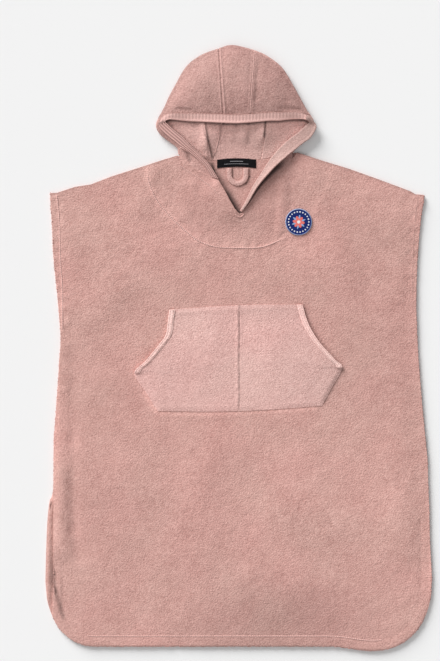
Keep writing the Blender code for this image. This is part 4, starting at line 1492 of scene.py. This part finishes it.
@dataclass
class Hood:
    """Three hood panels and the rim band's left and brow stretches."""

    form: HoodForm
    body: BodyForm
    per_section: int = 12
    steps: tuple[int, int, int, int] = HOOD_STEPS
    cuts: tuple[Cut, ...] = (Cut(0.15, 0.42, 0.041), Cut(0.10, 0.40, 0.034), Cut(0.13, 0.40, 0.031))
    band_cuts: tuple[Cut, ...] = (Cut(0.017, 0.165, 0.0024), Cut(0.017, 0.335, 0.0054))
    crown_folds: tuple[Fold, ...] = (
        Fold(-128, 500, -100, 497, -1, 3, 4),
        Fold(90, 500, 128, 498, -1.2, 4, 5),
        Fold(40, 590, 36, 520, -1.4, 9, 7),
        Fold(-20, 610, -24, 500, 1, 14, 14),
        Fold(-90, 560, -70, 500, 1.2, 20, 18),
        Fold(70, 560, 80, 510, 1.2, 14, 16),
        Fold(-109, 414, -101, 392, -1.8, 4, 5),
    )
    floor_creases: tuple[Fold, ...] = (
        Fold(-78, 505, -67, 434, 2.6, 2.6, 26),
        Fold(-67, 434, -58, 398, 4.2, 2.6, 14),
        Fold(56, 505, 51, 443, 2, 2.8, 14),
        Fold(-16, 500, -14, 440, 1.8, 7, 7),
        Fold(-5, 480, -4, 452, -1.6, 3, 3),
        Fold(9, 500, 13, 440, 1.8, 6, 8),
        Fold(24, 478, 21, 428, -1.4, 4, 4),
        Fold(-122, 488, 75, 492, 5, 34, 34),
    )
    floor_shades: tuple[Fold, ...] = (
        Fold(-74.5, 505, -63.8, 434, 0.55, 2.8, 1.4),
        Fold(-63.8, 434, -54.5, 398, 0.55, 2.6, 1.4),
        Fold(57.5, 505, 54.5, 446, 0.66, 3.6, 3),
        Fold(53, 438, 48, 396, -0.25, 1.6, 1.6),
        Fold(-5, 478, -5, 462, 0.25, 2.5, 2.5),
        Fold(22, 478, 21, 430, 0.16, 3.5, 3.5),
        Fold(-29, 480, -50, 402, 0.3, 1.8, 1.8),
        Fold(-60, 440, 50, 440, 0.12, 60, 70),
    )
    corner_shade: Fold = Fold(-173.0, 467.5, -150.0, 475.5, 0.75, 2.2, 2.2)
    crown_shades: tuple[Fold, ...] = (
        Fold(80, 580, 110, 500, 0.1, 40, 60),
        Fold(-124, 500, -90, 496, 0.1, 3, 3),
        Fold(20, 600, 24, 510, 0.06, 12, 10),
        Fold(-60, 580, -50, 500, 0.05, 12, 10),
        Fold(-109, 414, -101, 392, 0.42, 4, 5),
    )
    ridge: float = 3.8

    def columns(self, first: int, last: int, density: int) -> Array:
        """Fractional section numbers of one panel or band."""
        return np.linspace(first, last, (last - first) * density + 1)

    def lifted(self, outer: Array, inward: Array, where: Array, seams: tuple[bool, bool]) -> Array:
        """Outer face with pile, creases and the ridges along its seams, and its painted shade and light.

        Args:
            outer: The solid's outer face.
            inward: Directions to its inner face.
            where: Fractional section number of each column.
            seams: Whether the first and the last column are sewn.

        Returns:
            The moved points.
        """
        upper = self.steps[0] + self.steps[1]
        x, y = outer[:, :, 0], outer[:, :, 1]
        layer = np.arange(len(outer))[:, None]
        is_upper = layer <= upper
        is_floor = layer >= len(outer) - self.steps[3] - 1
        height = pile(x, y, 23) + relief_of(self.crown_folds, x, y) * is_upper
        # Painted shade in the crown's folds, along the fold's edge on the left and beside the seams, and
        # painted light at the right corner; the first sections by the neck get lighter towards the body's
        # colour.
        tone = relief_of(self.crown_shades, x, y) * is_upper
        tone -= 0.24 * (1 - beyond(where, 4.0, 2.0))
        tone += 0.38 * bell(layer - upper - 5.0, 3.5) * before(x, 50.0, 60.0) * (y > 480.0)
        tone -= 0.22 * beyond(x, 140.0, 8.0) * (y < 492.0)
        along = runs(outer, 1)
        for sewn, gap in zip(seams, (along, along[:, -1:] - along)):
            height += sewn * (0.45 * bell(gap - self.ridge, 2.4) - 0.3 * bell(gap - 8.5, 2.5))
            tone += sewn * 0.08 * bell(gap - 8.0, 2.5)
        covered = beyond(runs(outer, 0), self.form.band_width(where), 5.0)
        height = np.where(is_floor, 0.0, height * covered)
        return toned(outer - inward * height[:, :, None], tone)

    def floor_relief(self, inner: Array) -> Array:
        """Inner face with the floor's creases and pile, which show inside the hood.

        Its tone is painted shade in a thin line under the rim and along the left band, painted light in the
        rim's shadow below it to offset that shadow, and painted shade and light from the floor's shades along
        its creases and seams.
        """
        floor = np.arange(len(inner))[:, None] >= len(inner) - self.steps[3]
        x, y = inner[:, :, 0], inner[:, :, 1]
        along = runs(inner, 0)
        settle = smoothstep((along[-1:] - along) / 10.0)
        seen = beyond(y, 388.0, 14.0)
        height = (pile(x, y, 31) * 0.8 + relief_of(self.floor_creases, x, y) * seen) * settle * floor
        rim = np.array(self.form.sections)[:, :2]
        leg, brow = rim[: self.form.left_corner + 1], rim[self.form.left_corner :]
        below = np.interp(x, brow[:, 0], brow[:, 1]) - y
        tone = 0.6 * bell(below, 3.0) + 0.4 * bell(distance(x, y, leg), 2.6)
        shaded = beyond(below, 2.5, 3.0) * (1 - beyond(below, 9.0, 26.0))
        tone -= 0.43 * shaded * (1 - 0.6 * bell(x + 84.0, 15.0) - 0.3 * bell(x + 125.0, 22.0))
        tone += relief_of(self.floor_shades, x, y)
        return toned(raised(inner, height), np.clip(tone, -0.6, 0.7) * seen * floor)

    def ridge_row(self, name: str, grid: Array, away: float, width: float) -> Piece:
        """Light row of seam stitches beside a panel's first column.

        Args:
            name: Name of the piece.
            grid: Rows of the panel's face.
            away: Distance from the seam.
            width: Thickness of the thread as it shows.

        Returns:
            The piece.
        """
        strip = grid[:, :, :3]
        path = np.vstack([at_marks(np.array([away]), run, row) for run, row in zip(runs(strip, 1), strip)])
        up = unit(np.cross(np.gradient(path, axis=0), strip[:, 3] - strip[:, 0]))
        up = up if up[0, 2] > 0 else -up
        return stitch_row(name, path + THREAD_LIFT * up, 3.0, width, up)

    def build(self, finishes: Wardrobe) -> None:
        """Make the panels, the bands and their sewing."""
        spans = (
            ("hood_left", 0, self.form.left_seam),
            ("hood_centre", self.form.left_seam, self.form.right_seam),
            ("hood_right", self.form.right_seam, self.form.last),
        )
        for (node, first, last), cut in zip(spans, self.cuts):
            density = self.per_section * (2 if node == "hood_centre" else 1)
            where = self.columns(first, last, density)
            outer, inward = self.form.surface(self.body, where, self.steps)
            inner = outer + inward * TERRY
            seams = (first > 0, last < self.form.last)
            outer, inner = self.lifted(outer, inward, where, seams), self.floor_relief(inner)
            for layer in (outer, inner):
                layer[:, 0, 0] += SEAM_GAP / 2 * seams[0]
                layer[:, -1, 0] -= SEAM_GAP / 2 * seams[1]
            piece = cloth(node + "_cloth", outer, inner, True)
            dress(piece, finishes.hood_terry, finishes.lining)
            rows = [thread(finishes, row) for row in self.seam_rows(node, outer, inner)]
            lay(node, rows)
        self.build_bands(finishes)

    def seam_rows(self, node: str, outer: Array, inner: Array) -> list[Piece]:
        """Rows of stitches that show on a panel's crown and on its floor."""
        crown = outer[self.steps[0] + 1 : self.steps[0] + self.steps[1] + self.steps[2] // 2]
        floor = inner[-self.steps[3] + 4 : -4]
        if node == "hood_left":
            return [self.ridge_row("crown_stitches_left", crown[:, ::-1], self.ridge, 1.5)]
        if node == "hood_centre":
            return [
                self.ridge_row("crown_stitches_middle", crown, self.ridge, 1.5),
                self.ridge_row("crown_stitches_right", crown[:, ::-1], 0.4, 2.6),
                self.ridge_row("floor_stitches", floor, 0.3, 3.2),
            ]
        return []

    def band_faces(self, first: int, last: int, density: int, rows: int) -> tuple[Array, Array]:
        """Near and far faces of a stretch of the rim band, laid on the hood's rim."""
        surface, inward = self.form.surface(self.body, self.columns(first, last, density), (rows, 4, 4, 4))
        surface, inward = surface[: rows + 1], inward[: rows + 1]
        return surface - inward * LAY_GAP, surface - inward * (LAY_GAP + FACING)

    def build_bands(self, finishes: Wardrobe) -> None:
        """Brow band with stitches across it, and left band with rows along it."""
        near, far = self.band_faces(self.form.left_corner, self.form.last, 24, 14)
        x, y, across = far[:, :, 0], far[:, :, 1], runs(far, 0)
        # Painted shade at the left corner, painted light at the brow's right end, and lighter towards the
        # lip.
        tone = self.corner_shade.height_at(x, y) - 0.46 * bell(across, 13.0) - 0.25 * beyond(x, 140.0, 8.0)
        relief = BROW_RIBS.height * np.cos(2 * np.pi * x / BROW_RIBS.pitch) * beyond(across, 3.0, 2.0)
        relief += 0.5 * bell(across - 2.0, 2.0) - 0.4 * bell(across - 15.5, 1.5)
        brow = cloth("brow_band", toned(raised(far, relief), tone), near)
        dress(brow, finishes.brow_ribs)
        lay("rim_band_brow")
        near, far = self.band_faces(0, self.form.left_corner, 12, 24)
        across = runs(far, 0)
        relief = LEG_RIBS.height * np.cos(2 * np.pi * across / LEG_RIBS.pitch) * smoothstep(across / 1.5)
        tone = self.corner_shade.height_at(far[:, :, 0], far[:, :, 1])
        leg = cloth("left_band", toned(raised(far, relief), tone), near)
        dress(leg, finishes.leg_ribs)
        lay("rim_band_left")


@dataclass
class RightRim:
    """Leaning band on the right of the face opening."""

    form: RightRimForm
    density: int = 10
    limb: int = 16
    roll: int = 8
    facing_thickness: float = 1.2
    cut: Cut = Cut(0.045, 0.28, 0.0108)
    corner_rows: Table = (
        (145.5, 487, 17, 138.5, 482.5, 18.4),
        (152.5, 480.5, 16.4, 142.5, 476.5, 18.4),
    )

    def facing(self, outer: Array) -> Array:
        """Underside of the smooth facing: the strip's upper limb and its end over the brow.

        Args:
            outer: Outer face of the strip.

        Returns:
            Grid of points, rows across and columns along.
        """
        limb = raised(outer[: self.limb + 3], LAY_GAP)
        share = np.linspace(0, 1, len(limb))[:, None]
        low, high = (np.array([row[k : k + 3] for row in self.corner_rows])[:, None] for k in (0, 3))
        knots = np.stack([*(low + (high - low) * share), limb[:, 4], limb[:, 10]], axis=1)
        corner = np.array([through(line, np.linspace(0, 2, 21)) for line in knots])
        return np.concatenate([corner[:, :-1], limb[:, 4:-2]], axis=1)

    def build(self, finishes: Wardrobe) -> None:
        """Make the strip: the solid's hollow side, moved out along its normals."""
        where = np.linspace(0, self.form.last, self.form.last * self.density + 1)
        hollow = self.form.hollow(where, self.limb, self.roll)
        normal = unit(np.cross(np.gradient(hollow, axis=1), np.gradient(hollow, axis=0)))
        normal = normal if normal[0, :, 2].mean() > 0 else -normal
        across, along = runs(hollow, 0), runs(hollow, 1)
        grain = 0.18 * noise(along, across, 6.0, 41) + 0.2 * noise(along, across, 25.0, 42)
        outer = hollow + normal * (TERRY + 0.5 * grain[:, :, None])
        # Painted shade on the turned-under strip: 0.3 on its outer face, and on its hollow face deep where
        # the band leans over it, fading towards its seam.
        row = np.arange(len(hollow))[:, None]
        under = row > self.limb + self.roll / 2
        deep = 0.1 + 0.78 * beyond(where, 4.9, 1.3) * (1 - 0.3 * beyond(where, 8.0, 2.0))
        away = beyond(np.clip((row - self.limb - self.roll) / self.limb, 0, 1), 0.62, 0.38)
        tone = under * (deep * (1 - away) + 0.05 * away)
        piece = cloth("right_band", toned(outer, 0.3 * under), toned(hollow, tone))
        dress(piece, finishes.hood_terry)
        near = self.facing(outer)
        across = runs(near, 0)
        lip = 0.4 * bell(across - 2.5, 2.0) - 0.3 * bell(across - 6.0, 1.4)
        rise = self.facing_thickness + lip + 0.12 * noise(near[:, :, 0], near[:, :, 1], 5.0, 43)
        facing = cloth("right_facing", raised(near, rise), near)
        dress(facing, finishes.smooth_band)
        lay("rim_band_right", [facing])


# ---------------------------------------------------------------- pocket and trim


@dataclass
class Pocket:
    """Kangaroo pocket with its two banded hand openings."""

    body: BodyForm
    front: FrontPanel
    levels: Table = (
        (-170, -132, 175, -121),
        (-195, -92, 197, -81),
        (-218, -53, 217, -42),
        (-194, -26, 201, -23),
        (-166, 8, 172, 9),
        (-152.5, 28, 154, 36),
        (-148.5, 52, 143, 60),
        (-145, 80, 134, 91),
    )
    tips: int = 2
    seam_x: float = 2.0
    sag: float = 6.0
    rise: float = 4.0
    band: float = 12.0
    pouch: float = 2.2
    seam_width: float = 9.0
    cut: Cut = Cut(0.44, 0.23, 0.08)
    band_cut: Cut = Cut(0.012, 0.16, 0.0018)

    def underside(self, per_level: int, columns: int) -> Array:
        """The solid's underside on a grid: levels from the lower to the upper edge.

        The lower edge sags and the upper one rises as sines, and the cloth stands off
        the front by the hand space between the seams.

        Args:
            per_level: Rows from one level to the next.
            columns: Columns on each side of the middle seam.

        Returns:
            Points, rows by columns by three.
        """
        count = per_level * (len(self.levels) - 1) + 1
        table = through(self.levels, np.linspace(0, len(self.levels) - 1, count))
        left, right = table[:, None, 0:2], table[:, None, 2:4]
        width = right[:, :, 0] - left[:, :, 0]
        middle = (self.seam_x - left[:, :, 0]) / width
        steps = np.linspace(0, 1, columns)
        steps = 1.25 * steps - 0.25 * steps**2
        share = np.hstack([middle * steps, 1 - (1 - middle) * steps[-2::-1]])
        plan = left + (right - left) * share[:, :, None]
        rise = np.linspace(0, 1, count)[:, None]
        curve = np.sin(np.pi * share) * (self.rise * rise**8 - self.sag * (1 - rise) ** 8)
        x, y = plan[:, :, 0], plan[:, :, 1] + curve
        from_seam = np.abs(x - self.seam_x) / (width / 2)
        sewn = np.where(rise * (len(self.levels) - 1) <= self.tips, from_seam**6, 0)
        pouch = self.pouch * np.sin(np.pi * rise) ** 1.6 * smoothstep(from_seam / 0.35) * (1 - sewn)
        return np.dstack([x, y, self.body.front_underside(x, y) + TERRY + TOP_GAP + pouch])

    def relief(self, under: Array) -> Array:
        """Cloth over the solid: grain, a puckered middle seam and edges that the stitches hold down."""
        x, y = under[:, :, 0], under[:, :, 1]
        height = 0.15 * noise(x, y, 5.0, 51) + 0.25 * noise(x, y, 17.0, 52) + 0.5 * noise(x, y, 60.0, 53)
        from_seam = self.from_seam(x, y)
        depth = 1.8 * (0.75 + 0.25 * np.sin(y / 7.0 + np.sin(y / 23.0)))
        height -= depth * bell(from_seam, 1.5)
        height += 0.6 * bell(from_seam + 5.0, 3.0) * (1 + 0.5 * np.sin(y / 3.6 + 0.6 * np.sin(y / 11.0)))
        pressed = self.pressed(under)
        return height * (1 - pressed) - 1.8 * pressed

    def from_seam(self, x: Array, y: Array) -> Array:
        """Distance to the right of the middle seam, which wavers a little."""
        return x - self.seam_x - 0.5 * np.sin(y / 19.0)

    def pressed(self, under: Array) -> Array:
        """Share by which the stitches hold it down: 1 at the lower, side and upper seams."""
        down, along = runs(under, 0), runs(under, 1)
        level = np.linspace(0, len(self.levels) - 1, len(under))[:, None]
        open_hand = 40.0 * smoothstep((level - self.tips) * 4)
        sides = np.minimum(along, along[:, -1:] - along) + open_hand
        gap = np.minimum(np.minimum(down, down[-1:] - down), sides)
        return 1 - smoothstep(gap / self.seam_width)

    def tone(self, under: Array) -> Array:
        """Painted shade in the middle seam's dashes, right of it and at the top; painted light left of it and
        along the lower edge.
        """
        x, y, up = under[:, :, 0], under[:, :, 1], runs(under, 0)
        from_seam, down = self.from_seam(x, y), up[-1:] - up
        dashes = 0.65 + 0.35 * np.sin(y / 4.6 + 2 * np.sin(y / 13.0))
        tone = 0.42 * dashes * bell(from_seam, 1.7) - 0.06 * bell(from_seam + 4.5, 2.4)
        tone += 0.06 * beyond(x, 40.0, 60.0) + 0.1 * bell(from_seam - 4.0, 2.5)
        return tone - 0.26 * bell(up - 2.0, 8.0) + 0.14 * bell(down - 4.0, 8.0) + 0.05 * bell(down, 40.0)

    def build(self, finishes: Wardrobe) -> None:
        """Make the pocket, its bands and its stitches."""
        under = self.underside(10, 68)
        under = raised(under, -0.54 * self.pressed(under))
        top = toned(raised(under, POCKET_TERRY + self.relief(under)), self.tone(under))
        piece = dress(cloth("pocket_cloth", top, under), finishes.pocket_terry)
        lay("pocket", self.sew(finishes, under))
        self.build_bands(finishes)

    def build_bands(self, finishes: Wardrobe) -> None:
        """Narrow hem bands along the hand openings, on top of the pocket."""
        under = self.underside(12, 90)[12 * self.tips :]
        marks = np.linspace(0, self.band, 9)
        for node, flip in (("pocket_band_left", 1), ("pocket_band_right", -1)):
            side = under[:, ::flip]
            strip = np.array([at_marks(marks, run, row) for run, row in zip(runs(side, 1), side)])
            near = raised(strip, POCKET_TERRY + LAY_GAP)
            across = runs(near, 1)
            relief = 0.25 * noise(near[:, :, 0], near[:, :, 1], 4.0, 61)
            relief -= 0.35 * bell(across - 3.0, 1.0) + 0.8 * beyond(across, 7.0, 5.0)
            far = raised(near, FACING + relief)
            piece = dress(cloth(node + "_cloth", far, near), finishes.pocket_band)
            rows = [
                thread(finishes, stitch_row(f"{node}_stitches_{number}", raised(path, 0.25), 3.6, 0.9))
                for number, path in enumerate((far[:, 2], far[:, 6]))
            ]
            lay(node, rows)

    def sew(self, finishes: Wardrobe, under: Array) -> list[Piece]:
        """Stitches along the lower and the upper edge and the two lower sides."""
        top = raised(under, POCKET_TERRY - 1.3)
        lines = {"low": top[1, 2:-2], "high": top[-2, 3:-3], "left": top[1:21, 1], "right": top[1:21, -2]}
        return [
            thread(finishes, stitch_row(f"pocket_stitches_{side}", path, 3.8, 0.85))
            for side, path in lines.items()
        ]


@dataclass
class Patch:
    """Round embroidered patch with a generic flower inside a ring of dots."""

    front: FrontPanel
    radius: float = 28.0
    thickness: float = 1.3
    border_width: float = 1.6
    flat_share: float = 0.93
    rings: int = 60
    turns: int = 216
    dots: int = 22
    dot_ring: float = 21.3
    dot_radius: float = 1.5
    core: float = 3.2
    ground: Colour = (0.008, 0.022, 0.15)
    border: Colour = (0.34, 0.42, 0.62)
    petal: Colour = (0.86, 0.20, 0.17)
    pale: Colour = (0.86, 0.87, 0.90)
    leaf: Colour = (0.30, 0.44, 0.66)
    cut: Cut = Cut(0.056, 0.056, 0.00246)

    def tints(self, x: Array, y: Array) -> Array:
        """Colour of each place: ground, border, ring of dots, six petals and a pale core.

        Args:
            x: X from the centre.
            y: Y from the centre.

        Returns:
            Colours, one row for each point.
        """
        radius, angle = np.hypot(x, y), np.arctan2(y, x)
        tint = np.tile(self.ground, (len(x), 1))
        spoke = 2 * np.pi / self.dots
        off = (angle + spoke / 2) % spoke - spoke / 2
        dot = np.hypot(radius - self.dot_ring, self.dot_ring * off) < self.dot_radius
        petals = radius < 5.0 + 7.5 * np.abs(np.cos(3 * angle + 0.5)) ** 0.8
        leaves = (radius < 6.0 + 9.0 * np.abs(np.sin(3 * angle + 0.5)) ** 5) & ~petals
        for mask, colour in (
            (radius > self.radius - self.border_width, self.border),
            (dot, self.pale),
            (leaves & (radius > 4), self.leaf),
            (petals, self.petal),
            (radius < self.core, self.pale),
        ):
            tint[mask] = colour
        return tint

    def build(self, finishes: Wardrobe) -> None:
        """Make the disc as a polar grid: a domed edge, a flat ground and raised threads."""
        share = np.concatenate([np.linspace(0.02, self.flat_share, self.rings), [0.955, 0.975, 0.99, 1.0]])
        angle = np.linspace(0, 2 * np.pi, self.turns, endpoint=False)
        radius = share[:, None] * self.radius
        x, y = radius * np.cos(angle), radius * np.sin(angle)
        tint = self.tints(x.ravel(), y.ravel())
        sewn = 0.25 * (np.abs(tint - np.array(self.ground)).sum(axis=1) > 0.05).reshape(x.shape)
        centre = self.front.patch_centre
        x, y = x + centre[0], y + centre[1]
        seat = self.front.form.front_underside(x[-1], y[-1]).max() + TERRY + TOP_GAP
        rim = np.sqrt(1 - np.clip((share - self.flat_share) / (1 - self.flat_share), 0, 1) ** 2)[:, None]
        half = self.thickness / 2
        high = seat + half + (half + 0.4 * bell(share - 0.955, 0.03)[:, None] + sewn) * rim
        top, low = np.dstack([x, y, high]), np.dstack([x, y, seat + half * (1 - rim) + 0 * x])
        poles = [[*centre, seat + self.thickness], [*centre, seat]]
        points = np.vstack([top.reshape(-1, 3), low[:-1].reshape(-1, 3), poles])
        upper = np.arange(x.size).reshape(x.shape)
        lower = upper.copy()
        lower[:-1] += upper.size
        upper, lower = wrapped(upper), wrapped(lower)
        faces = halves(np.vstack([quads(upper), quads(lower)[:, ::-1]]))
        ends = [fan(upper[0, ::-1], len(points) - 2), fan(lower[0], len(points) - 1)]
        piece = make_object("patch_cloth", points, np.vstack([faces, *ends]))
        colours = np.vstack([tint, tint[: -self.turns], [self.pale], [self.ground]])
        layer = piece.data.color_attributes.new("tint", "FLOAT_COLOR", "POINT")
        colours = np.column_stack([colours, np.ones(len(colours))])
        layer.data.foreach_set("color", colours.astype(np.float32).ravel())
        dress(piece, finishes.patch)
        lay("patch")


@dataclass
class NeckTrim:
    """Neck label and hanging loop."""

    label_centre: Point = (-4.0, 389.0)
    label_size: Point = (82.0, 18.0)
    label_thickness: float = 0.8
    arch: float = 3.0
    loop_centre: Point = (-2.0, 363.0)
    loop_top: float = 377.5
    loop_radius: float = 17.5
    strip: float = 10.5
    loop_thickness: float = 2.4
    label_cut: Cut = Cut(0.082, 0.018)
    loop_cut: Cut = Cut(0.011, 0.11)

    def build_label(self, finishes: Wardrobe) -> None:
        """Arched tape with two plain rows of pale dashes."""
        across = np.linspace(-1, 1, 61)
        down = np.linspace(-0.5, 0.5, 15)
        x = self.label_centre[0] + across[None] * self.label_size[0] / 2 + 0 * down[:, None]
        y = self.label_centre[1] - self.arch * across[None] ** 2 + down[:, None] * self.label_size[1]
        near = np.dstack([x, y, np.full(x.shape, TERRY + LAY_GAP)])
        puff = 0.5 * (1 - across[None] ** 8) * (1 - (2 * down[:, None]) ** 4) + 0.15 * noise(x, y, 9.0, 71)
        far = raised(near, self.label_thickness + puff)
        piece = dress(cloth("label_cloth", far, near), finishes.tape)
        rows = []
        for name, row, columns, width in (("high", 9, slice(20, 41), 1.3), ("low", 5, slice(11, 50), 0.9)):
            dashes = stitch_row(f"label_dashes_{name}", raised(far[row, columns], 0.1), 3.4, width)
            rows.append(dress(dashes, finishes.pale_thread))
        lay("neck_label", rows)

    def build_loop(self, finishes: Wardrobe) -> None:
        """Flat strip down, round a half circle and up again, with a rounded back."""
        turn = np.linspace(np.pi, 2 * np.pi, 49)
        share = np.linspace(-0.5, 0.5, 9)[:, None]
        radius = self.loop_radius + share * self.strip
        x, y = self.loop_centre[0] + radius * np.cos(turn), self.loop_centre[1] + radius * np.sin(turn)
        down, up = np.linspace(0, 1, 9)[:-1], np.linspace(0, 1, 9)[1:]
        x = np.hstack([x[:, :1] + 0 * down, x, x[:, -1:] + 0 * up])
        left = self.loop_top + (y[:, :1] - self.loop_top) * down
        right = y[:, -1:] + (self.loop_top - y[:, -1:]) * up
        near = np.dstack([x, np.hstack([left, y, right]), np.full(x.shape, TERRY + LAY_GAP)])
        rise = 0.5 * (1 - 4 * share**2) - 0.35 * bell(np.abs(share) - 0.32, 0.07)
        rise = rise + 0.12 * noise(near[:, :, 0], near[:, :, 1], 4.0, 81)
        far = toned(raised(near, self.loop_thickness + rise), 0.12)
        piece = dress(cloth("loop_cloth", far, near), finishes.lining)
        lay("hanging_loop")

    def build(self, finishes: Wardrobe) -> None:
        """Make both."""
        self.build_label(finishes)
        self.build_loop(finishes)


@dataclass
class EdgePile:
    """Terry loops that stand out along the body's edge."""

    front: FrontPanel
    loop_size: float = 2.0
    spacing: float = 1.5
    spread: float = 1.1
    seed: int = 5

    def build(self, finishes: Wardrobe) -> None:
        """Loops along the body's outline, at random places across it and with random turns."""
        random = np.random.default_rng(self.seed)
        line = even_path(self.front.outline(), 5.0)
        outward = np.column_stack([-leftward(line), np.zeros(len(line))])
        line = np.column_stack([line, np.full(len(line), 1.5 * TERRY)]) - outward * 0.8
        run = travelled(line)
        marks = np.sort(random.uniform(0, run[-1], int(run[-1] / self.spacing)))
        out = unit(at_marks(marks, run, outward))
        tilt = random.uniform(-1.0, 1.0, (len(marks), 1))
        up = np.array([0.0, 0.0, 1.0])
        centres = at_marks(marks, run, line) + self.spread * up * tilt - out * 0.6 * tilt**2
        stand = unit(out + up * tilt * 0.9 + random.normal(0, 0.25, centres.shape))
        along = random.normal(0, 1.0, centres.shape)
        along -= stand * np.einsum("ij,ij->i", along, stand)[:, None]
        size = random.uniform(0.7, 1.4, (len(marks), 1)) * np.array([[1.0, 1.0, 0.95]]) * self.loop_size
        dress(LOOP.repeat("edge_loops_front", centres, along, stand, size), finishes.terry)


# ---------------------------------------------------------------- studio


@dataclass
class Studio:
    """Camera straight above, pale floor, soft key light and even fill.

    A row of the lamps holds the elevation, azimuth, strength and softness of a sun.
    """

    centre: Point = (-38.85, 36.75)
    frame_height: float = 1388.1
    lens: float = 85.0
    sensor: float = 36.0
    clip_end: float = 100.0
    lamps: Table = ((20.5, 125.0, 5.05, 34.0), (45.0, 250.0, 0.55, 70.0))
    fill: float = 0.38
    floor: Colour = (0.84, 0.84, 0.84)
    reach: float = 6000.0
    floor_gap: float = 0.3

    def build(self) -> None:
        """Make the camera, the lights and the floor."""
        scene = bpy.context.scene
        scene.view_settings.view_transform = "Standard"
        self.build_camera(scene)
        self.build_lights(scene)
        corners = np.array([[-1, -1, 0], [1, -1, 0], [1, 1, 0], [-1, 1, 0]]) * self.reach
        corners = raised(corners, -self.floor_gap)
        floor = make_object("floor", corners, np.array([[0, 1, 2, 3]]))
        floor.data.materials.append(FloorFinish("floor", self.floor).make())

    def build_camera(self, scene: bpy.types.Scene) -> None:
        """Put the camera above the frame's centre, at the height that its lens needs."""
        data = bpy.data.cameras.new("camera")
        data.lens = self.lens
        data.sensor_width = self.sensor
        camera = bpy.data.objects.new("camera", data)
        height = self.frame_height * self.lens / self.sensor
        camera.location = (self.centre[0] * MM, self.centre[1] * MM, height * MM)
        data.clip_end = self.clip_end
        scene.collection.objects.link(camera)
        scene.camera = camera

    def build_lights(self, scene: bpy.types.Scene) -> None:
        """Key sun from the upper left, a weak one from below, and an even white world."""
        for elevation, azimuth, strength, softness in self.lamps:
            data = bpy.data.lights.new("sun", "SUN")
            data.energy = strength
            data.angle = np.radians(softness)
            lamp = bpy.data.objects.new("sun", data)
            lamp.rotation_euler = (0.0, np.radians(90 - elevation), np.radians(azimuth))
            scene.collection.objects.link(lamp)
        world = bpy.data.worlds.new("studio")
        world.use_nodes = True
        light = world.node_tree.nodes["Background"].inputs
        light["Color"].default_value = (1.0, 1.0, 1.0, 1.0)
        light["Strength"].default_value = self.fill
        scene.world = world


def main() -> None:
    """Build the garment piece by piece."""
    logging.basicConfig(level=logging.INFO, format="%(message)s")
    Studio().build()
    finishes = Wardrobe.make()
    body, hood_form, rim_form = BodyForm(), HoodForm(), RightRimForm()
    BackPanel(body).build(finishes)
    front = FrontPanel(body, hood_form, rim_form)
    front.build(finishes)
    Hood(hood_form, body).build(finishes)
    RightRim(rim_form).build(finishes)
    Pocket(body, front).build(finishes)
    Patch(front).build(finishes)
    NeckTrim().build(finishes)
    EdgePile(front).build(finishes)


if __name__ == "__main__":
    main()
